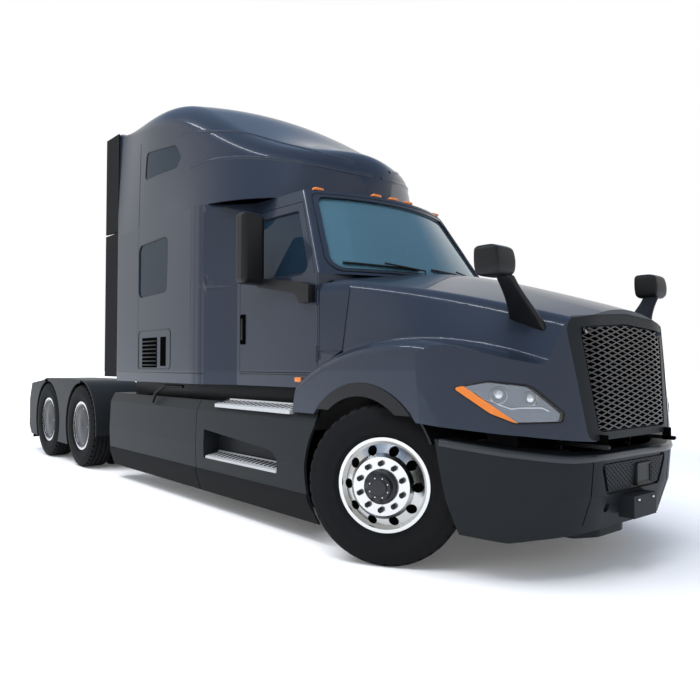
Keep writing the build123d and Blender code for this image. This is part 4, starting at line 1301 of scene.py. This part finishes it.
def tower(name, loops):
    """Loops of corners, one above the other, bridged and closed at both ends."""
    rings = []
    for corners in loops:
        rings.append(draw_line(name, [*corners, corners[0]]))
        weld()
        fresh()
    piece = join(name, *rings)
    edit(piece, "EDGE")
    bpy.ops.mesh.bridge_edge_loops()
    bpy.ops.mesh.select_mode(type="VERT")
    bpy.ops.mesh.select_all(action="DESELECT")
    bpy.ops.mesh.select_non_manifold()
    bpy.ops.mesh.edge_face_add()
    face_out()
    return piece


def oblong(x0, x1, y0, y1, z):
    return [at(x0, -y0, z), at(x1, -y0, z), at(x1, -y1, z), at(x0, -y1, z)]


print("loops of housing and stalk:", len(head_loops), len(stalk_loops))

# %% [markdown]
# A bevel keeps the edges of the towers firm, and a subdivision surface makes
# the rest round. The left mirror is the mirror image of the right one.

# %% Hood mirrors
housing = tower("hood_mirror_head_right", [oblong(*loop) for loop in head_loops])
stalk_corners = [oblong(x0, x1, y - half, y + half, z) for x0, x1, y, half, z in stalk_loops]
stalk = tower("hood_mirror_stalk_right", stalk_corners)
for piece in (housing, stalk):
    round_edges(piece, 0.02, 2)
    use_modifier(piece, "SUBSURF", levels=2, render_levels=2)
    twin = mirrored(piece, piece.name.replace("right", "left"))
    settle(piece, "nose", "black", *(["hood_mirrors"] if piece is housing else []), angle=60)
    settle(twin, "nose", "black", angle=60)
print("hood mirror faces:", len(housing.data.polygons), len(stalk.data.polygons))

# %% [markdown]
# Behind the screen stands the steering wheel: a small circle spun into a ring,
# a spun hub and three rods for spokes, joined and tilted towards the driver.

# %% Steering wheel
RING_R, GRIP_R = 0.225, 0.014
ring_line = []
for i in range(11):
    angle = i * math.pi / 5
    ring_line.append((RING_R + GRIP_R * math.cos(angle), GRIP_R * math.sin(angle)))
ring = lathe("steering_ring", ring_line, 48)
hub = lathe("steering_hub", [(0.0, 0.03), (0.05, 0.026), (0.07, 0.01), (0.07, -0.03), (0.0, -0.03)], 24)
spokes = []
for angle in (-0.4, 3.54, 1.57):
    end = (RING_R * math.cos(angle), 0, RING_R * math.sin(angle))
    spokes.append(rod("spoke", [(0, 0, 0), end], 0.012))
wheel = join("steering_wheel", ring, hub, *spokes)
pick(wheel)
wheel.rotation_euler = (math.radians(35), 0, math.radians(90))
wheel.location = at(-1.03, 0.51, 1.86)
freeze()
settle(wheel, "chassis", "cabin")
print("steering wheel faces:", len(wheel.data.polygons))

# %% [markdown]
# The treads of the steps are pressed sheets that rise to a lip at the back. A
# bar with that outline is the tread, and a row of near-black bars let into it,
# painted shade, are the slots that keep a boot from slipping.

# %% Step treads
step_rows = [
    # x from, x to, outer y, inner y, top of the tread
    (-2.04, -0.95, 1.212, 1.075, 0.472), (-1.87, -0.77, 1.218, 1.062, 0.932),
]
TREAD_RISE = 0.03
TREAD_THICK = 0.030
LIP = 0.010
SLOTS = 18
SLOT_HALF = 0.012
for side, sign in SIDES:
    treads, slots = [], []
    for x0, x1, outer, inner, top in step_rows:
        back = top + TREAD_RISE
        edge = [(outer, top - TREAD_THICK), (outer, top), (inner + LIP, back), (inner + LIP, back + LIP),
                (inner, back + LIP), (inner, top - TREAD_THICK)]
        tread = side_bar("tread", sign, edge, x0, x1)
        round_edges(tread, 0.004, 2)
        treads.append(tread)
        edge = [(outer - 0.036, top + 0.009), (outer - 0.036, top - 0.002),
                (inner + 0.024, back - 0.008), (inner + 0.024, back - 0.001)]
        for i in range(SLOTS):
            x = x0 + (x1 - x0) * (i + 0.5) / SLOTS
            slots.append(side_bar("slot", sign, edge, x - SLOT_HALF, x + SLOT_HALF))
    replaced = ["steps"] if sign > 0 else []
    settle(join("step_treads_" + side, *treads), "chassis", "alloy", *replaced, look="tread")
    # near-black slots: painted shade in the openings
    settle(join("step_slots_" + side, *slots), "chassis", "black", look="painted_shade_and_joints")
    print("steps on the", side, "with", len(slots), "slots")

# %% [markdown]
# ## Bumper and rear
#
# Two screws show on the plate bracket. They are the wheel nut again, smaller
# and turned to face forward.

# %% Plate screws
BRACKET_X = 1.257
SCREW_Y, SCREW_Z = 0.089, 0.455
screw = nut("plate_screw", 0.009, 0.008)
screws = []
for y in (-SCREW_Y, SCREW_Y):
    screws.append(place(copy_of(screw, "screw"), at(BRACKET_X + 0.003, y, SCREW_Z), -math.pi / 2))
discard(screw)
settle(join("plate_screws", *screws), "chassis", "alloy")
print("plate screws:", len(screws))

# %% [markdown]
# The top edge of the bumper is rolled over into a round shoulder that catches
# the light. Its moulding is glossier and a little lighter than the bumper's, a
# painted highlight. Rays cast at the bumper from outside give its points, first
# near the edge and then again just below it. A rod along them is the shoulder.

# %% Bumper shoulder
SHOULDER_R = 0.024
SHOULDER_SUNK = 0.016
SHOULDER_STEP = math.radians(4.1)
SHOULDER_RAYS = 17
# x from the axle and height along the bumper's top edge, from the wheel to the front
TOP_LINE = ((0.615, 0.838), (1.000, 0.770), (1.130, 0.738))


def bumper_hit(start, way):
    for node in ("bumper_ends", "bumper_middle"):
        found, spot, normal, face = NODES[node].ray_cast(start, way)
        if found:
            return spot, normal
    return None


def bumper_top(x):
    """Height of the bumper's sloping top edge at that length."""
    x -= AXLE_X
    for (x0, z0), (x1, z1) in zip(TOP_LINE, TOP_LINE[1:]):
        if x <= x1:
            return z0 + (z1 - z0) * (x - x0) / (x1 - x0)
    return TOP_LINE[-1][1]


shoulder = []
for i in range(-SHOULDER_RAYS, SHOULDER_RAYS + 1):
    way = Vector((math.cos(SHOULDER_STEP * i), math.sin(SHOULDER_STEP * i), 0))
    z = 0.735
    for ray in range(3):
        hit = bumper_hit(at(0.2, 0, z) + way * 3, -way)
        if hit:
            z = bumper_top(hit[0].x) - 0.006
    if hit:
        spot, normal = hit
        centre = spot - Vector((normal.x, normal.y, 0)).normalized() * SHOULDER_SUNK
        centre.z = bumper_top(spot.x) - SHOULDER_SUNK
        shoulder.append(centre)
# lighter than the trim: a painted highlight along the bumper's top edge
settle(rod("bumper_shoulder", shoulder, SHOULDER_R, 24), "chassis", "trim", angle=60, look="satin")
print("bumper shoulder points:", len(shoulder))

# %% [markdown]
# A fine joint parts the middle of the bumper from each end, where the solids
# meet. It is a thin dark rod, laid through points on the front.

# %% Bumper joints
JOINT_Y = 0.474
for side, sign in SIDES:
    seam = []
    for i in range(12):
        hit = bumper_hit(at(3.0, sign * JOINT_Y, 0.33 + i * 0.035), Vector((-1, 0, 0)))
        if hit:
            seam.append(hit[0] - hit[1] * 0.002)
    settle(rod("bumper_seam_" + side, seam, 0.004, 8), "chassis", "black", look="painted_shade_and_joints")
    print("bumper seam points:", len(seam))

# %% [markdown]
# Behind the drive wheels hang rubber flaps on steel rods, and a strap holds
# the tank fairing. The back of the sleeper has a pair of grab rails and a work
# lamp, a block with its lens pushed in.

# %% Rear pieces
FLAP_X, FLAP_TOP = -7.355, 0.862
RAIL_Y, RAIL_OUT = 0.86, 0.06
rail_line = ((0, 1.5), (RAIL_OUT, 1.5), (RAIL_OUT, 2.3), (0, 2.3))
SLEEPER_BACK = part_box("sleeper_shell")[0].x
for side, sign in SIDES:
    flap = side_block("mud_flap_" + side, sign, (-7.36, -7.35), (0.62, 1.19), (0.20, 0.86), 0.003)
    settle(flap, "chassis", "tyre")
    hanger = [at(FLAP_X, sign * 0.42, FLAP_TOP), at(FLAP_X, sign * 1.19, FLAP_TOP)]
    settle(rod("flap_hanger_" + side, hanger, 0.014), "chassis", "frame")
    strap = [at(-2.70, sign * 1.10, 1.055), at(-2.95, sign * 1.165, 1.055),
             at(-3.07, sign * 1.207, 0.985), at(-3.11, sign * 1.222, 0.89)]
    settle(rod("fairing_strap_" + side, strap, 0.016), "chassis", "black")
    rail = [(SLEEPER_BACK - out, sign * RAIL_Y, z) for out, z in rail_line]
    settle(rod("grab_rail_" + side, rail, 0.016), "chassis", "alloy")
    print("flap, hanger, strap and rail on the", side)
lamp_low = (SLEEPER_BACK - 0.05, -0.07, 2.45)
lamp_high = (SLEEPER_BACK + 0.004, 0.07, 2.55)
work_lamp = block("work_lamp", lamp_low, lamp_high, 0.012, 3)
sink(work_lamp, lambda c, n: n.x < -0.9, 0.012, (0.008, 0, 0))
settle(work_lamp, "chassis", "black")

# %% [markdown]
# ## Camera, floor and light
#
# The camera stands where the photograph was taken: low, in front of the right
# corner. Its place and lens come from a fit to the wheels and to the straight
# lines of the body.

# %% Camera
CAMERA_AT = at(3.194, -4.024, 1.252)
CAMERA_AZIMUTH = math.radians(49.88)
CAMERA_ELEVATION = math.radians(-1.40)
CAMERA_ROLL = math.radians(-0.13)
fresh()
bpy.ops.object.camera_add(location=CAMERA_AT)
camera = bpy.context.object
camera.rotation_mode = "QUATERNION"
back = Vector((math.sin(CAMERA_AZIMUTH) * math.cos(CAMERA_ELEVATION),
               -math.cos(CAMERA_AZIMUTH) * math.cos(CAMERA_ELEVATION), math.sin(CAMERA_ELEVATION)))
camera.rotation_quaternion = back.to_track_quat("Z", "Y")
camera.rotation_mode = "XYZ"
camera.rotation_euler.rotate_axis("Z", -CAMERA_ROLL)
camera.data.sensor_width = 36.0
camera.data.lens = 34.21
camera.data.shift_x = 0.006
camera.data.clip_end = 400.0
bpy.context.scene.camera = camera
print("camera at", [round(c, 3) for c in CAMERA_AT])

# %% [markdown]
# The floor is pale and keeps the soft shadow under the tractor. Further out it
# turns plain white to the eye and in reflections, and so meets the background
# without an edge. That glow lights nothing else.

# %% Floor
FLOOR_LIFT = 0.08
FADE_FROM, FADE_TO = 6.0, 14.0
fresh()
bpy.ops.mesh.primitive_plane_add(size=300, location=(0, 0, 0))
floor = bpy.context.object
floor.name = "floor"
floor_look = finish("pale_floor", (0.9, 0.9, 0.9), 0.9, shine=0.0)
tree = floor_look.node_tree
shader = tree.nodes["Principled BSDF"]
shader.inputs["Emission Color"].default_value = (1.0, 1.0, 1.0, 1.0)
rays = add_node(tree, "ShaderNodeLightPath").outputs
seen = add_node(tree, "ShaderNodeMath", rays["Is Camera Ray"], rays["Is Glossy Ray"], operation="MAXIMUM")
clear = add_node(tree, "ShaderNodeMath", seen.outputs[0], rays["Is Transmission Ray"], operation="MAXIMUM")
where = add_node(tree, "ShaderNodeTexCoord").outputs["Object"]
reach = add_node(tree, "ShaderNodeVectorMath", where, operation="LENGTH")
fade = add_node(tree, "ShaderNodeMapRange", reach.outputs["Value"],
                From_Min=FADE_FROM, From_Max=FADE_TO, To_Min=FLOOR_LIFT, To_Max=1.0)
lift = add_node(tree, "ShaderNodeMath", clear.outputs[0], fade.outputs["Result"], operation="MULTIPLY")
tree.links.new(lift.outputs[0], shader.inputs["Emission Strength"])
floor.data.materials.append(floor_look)
print("floor fades to white between", FADE_FROM, "and", FADE_TO, "m")

# %% [markdown]
# The surroundings are white up to a good height, so every view has a plain
# background. Overhead the sky turns blue, which the clear coat shows on hood
# and roof.

# %% World
WHITE_UP_TO, BLUE_FROM = 0.48, 0.64
world = bpy.data.worlds.new("studio")
bpy.context.scene.world = world
world.use_nodes = True
sky = world.node_tree
background = sky.nodes["Background"]
where = add_node(sky, "ShaderNodeTexCoord").outputs["Generated"]
height = add_node(sky, "ShaderNodeSeparateXYZ", where).outputs["Z"]
shade = add_ramp(sky, height, (WHITE_UP_TO, (1.0, 1.0, 1.0)), (BLUE_FROM, (0.30, 0.41, 0.60)))
sky.links.new(shade.outputs["Color"], background.inputs["Color"])
background.inputs["Strength"].default_value = 1.0
print("sky white up to", WHITE_UP_TO)

# %% [markdown]
# A wide lamp overhead gives the soft shadow and is left out of the
# reflections. A long narrow lamp draws a highlight along the edges of hood,
# fenders and roof.

# %% Lamps
fresh()
bpy.ops.object.light_add(type="AREA", location=at(-2.0, -3.0, 10.0))
key = bpy.context.object
key.data.size = 12.0
key.data.energy = 1350.0
key.visible_glossy = False
key.rotation_euler = (at(-1.5, 0, 1.5) - key.location).to_track_quat("-Z", "Y").to_euler()
fresh()
bpy.ops.object.light_add(type="AREA", location=at(-1.5, -5.0, 8.5))
streak = bpy.context.object
streak.data.shape = "RECTANGLE"
streak.data.size = 11.0
streak.data.size_y = 1.1
streak.data.energy = 650.0
streak.rotation_euler = (math.radians(-35), 0, 0)
print("lamps:", key.data.energy, "and", streak.data.energy, "W")

# %% View transform
bpy.context.scene.view_settings.view_transform = "Standard"
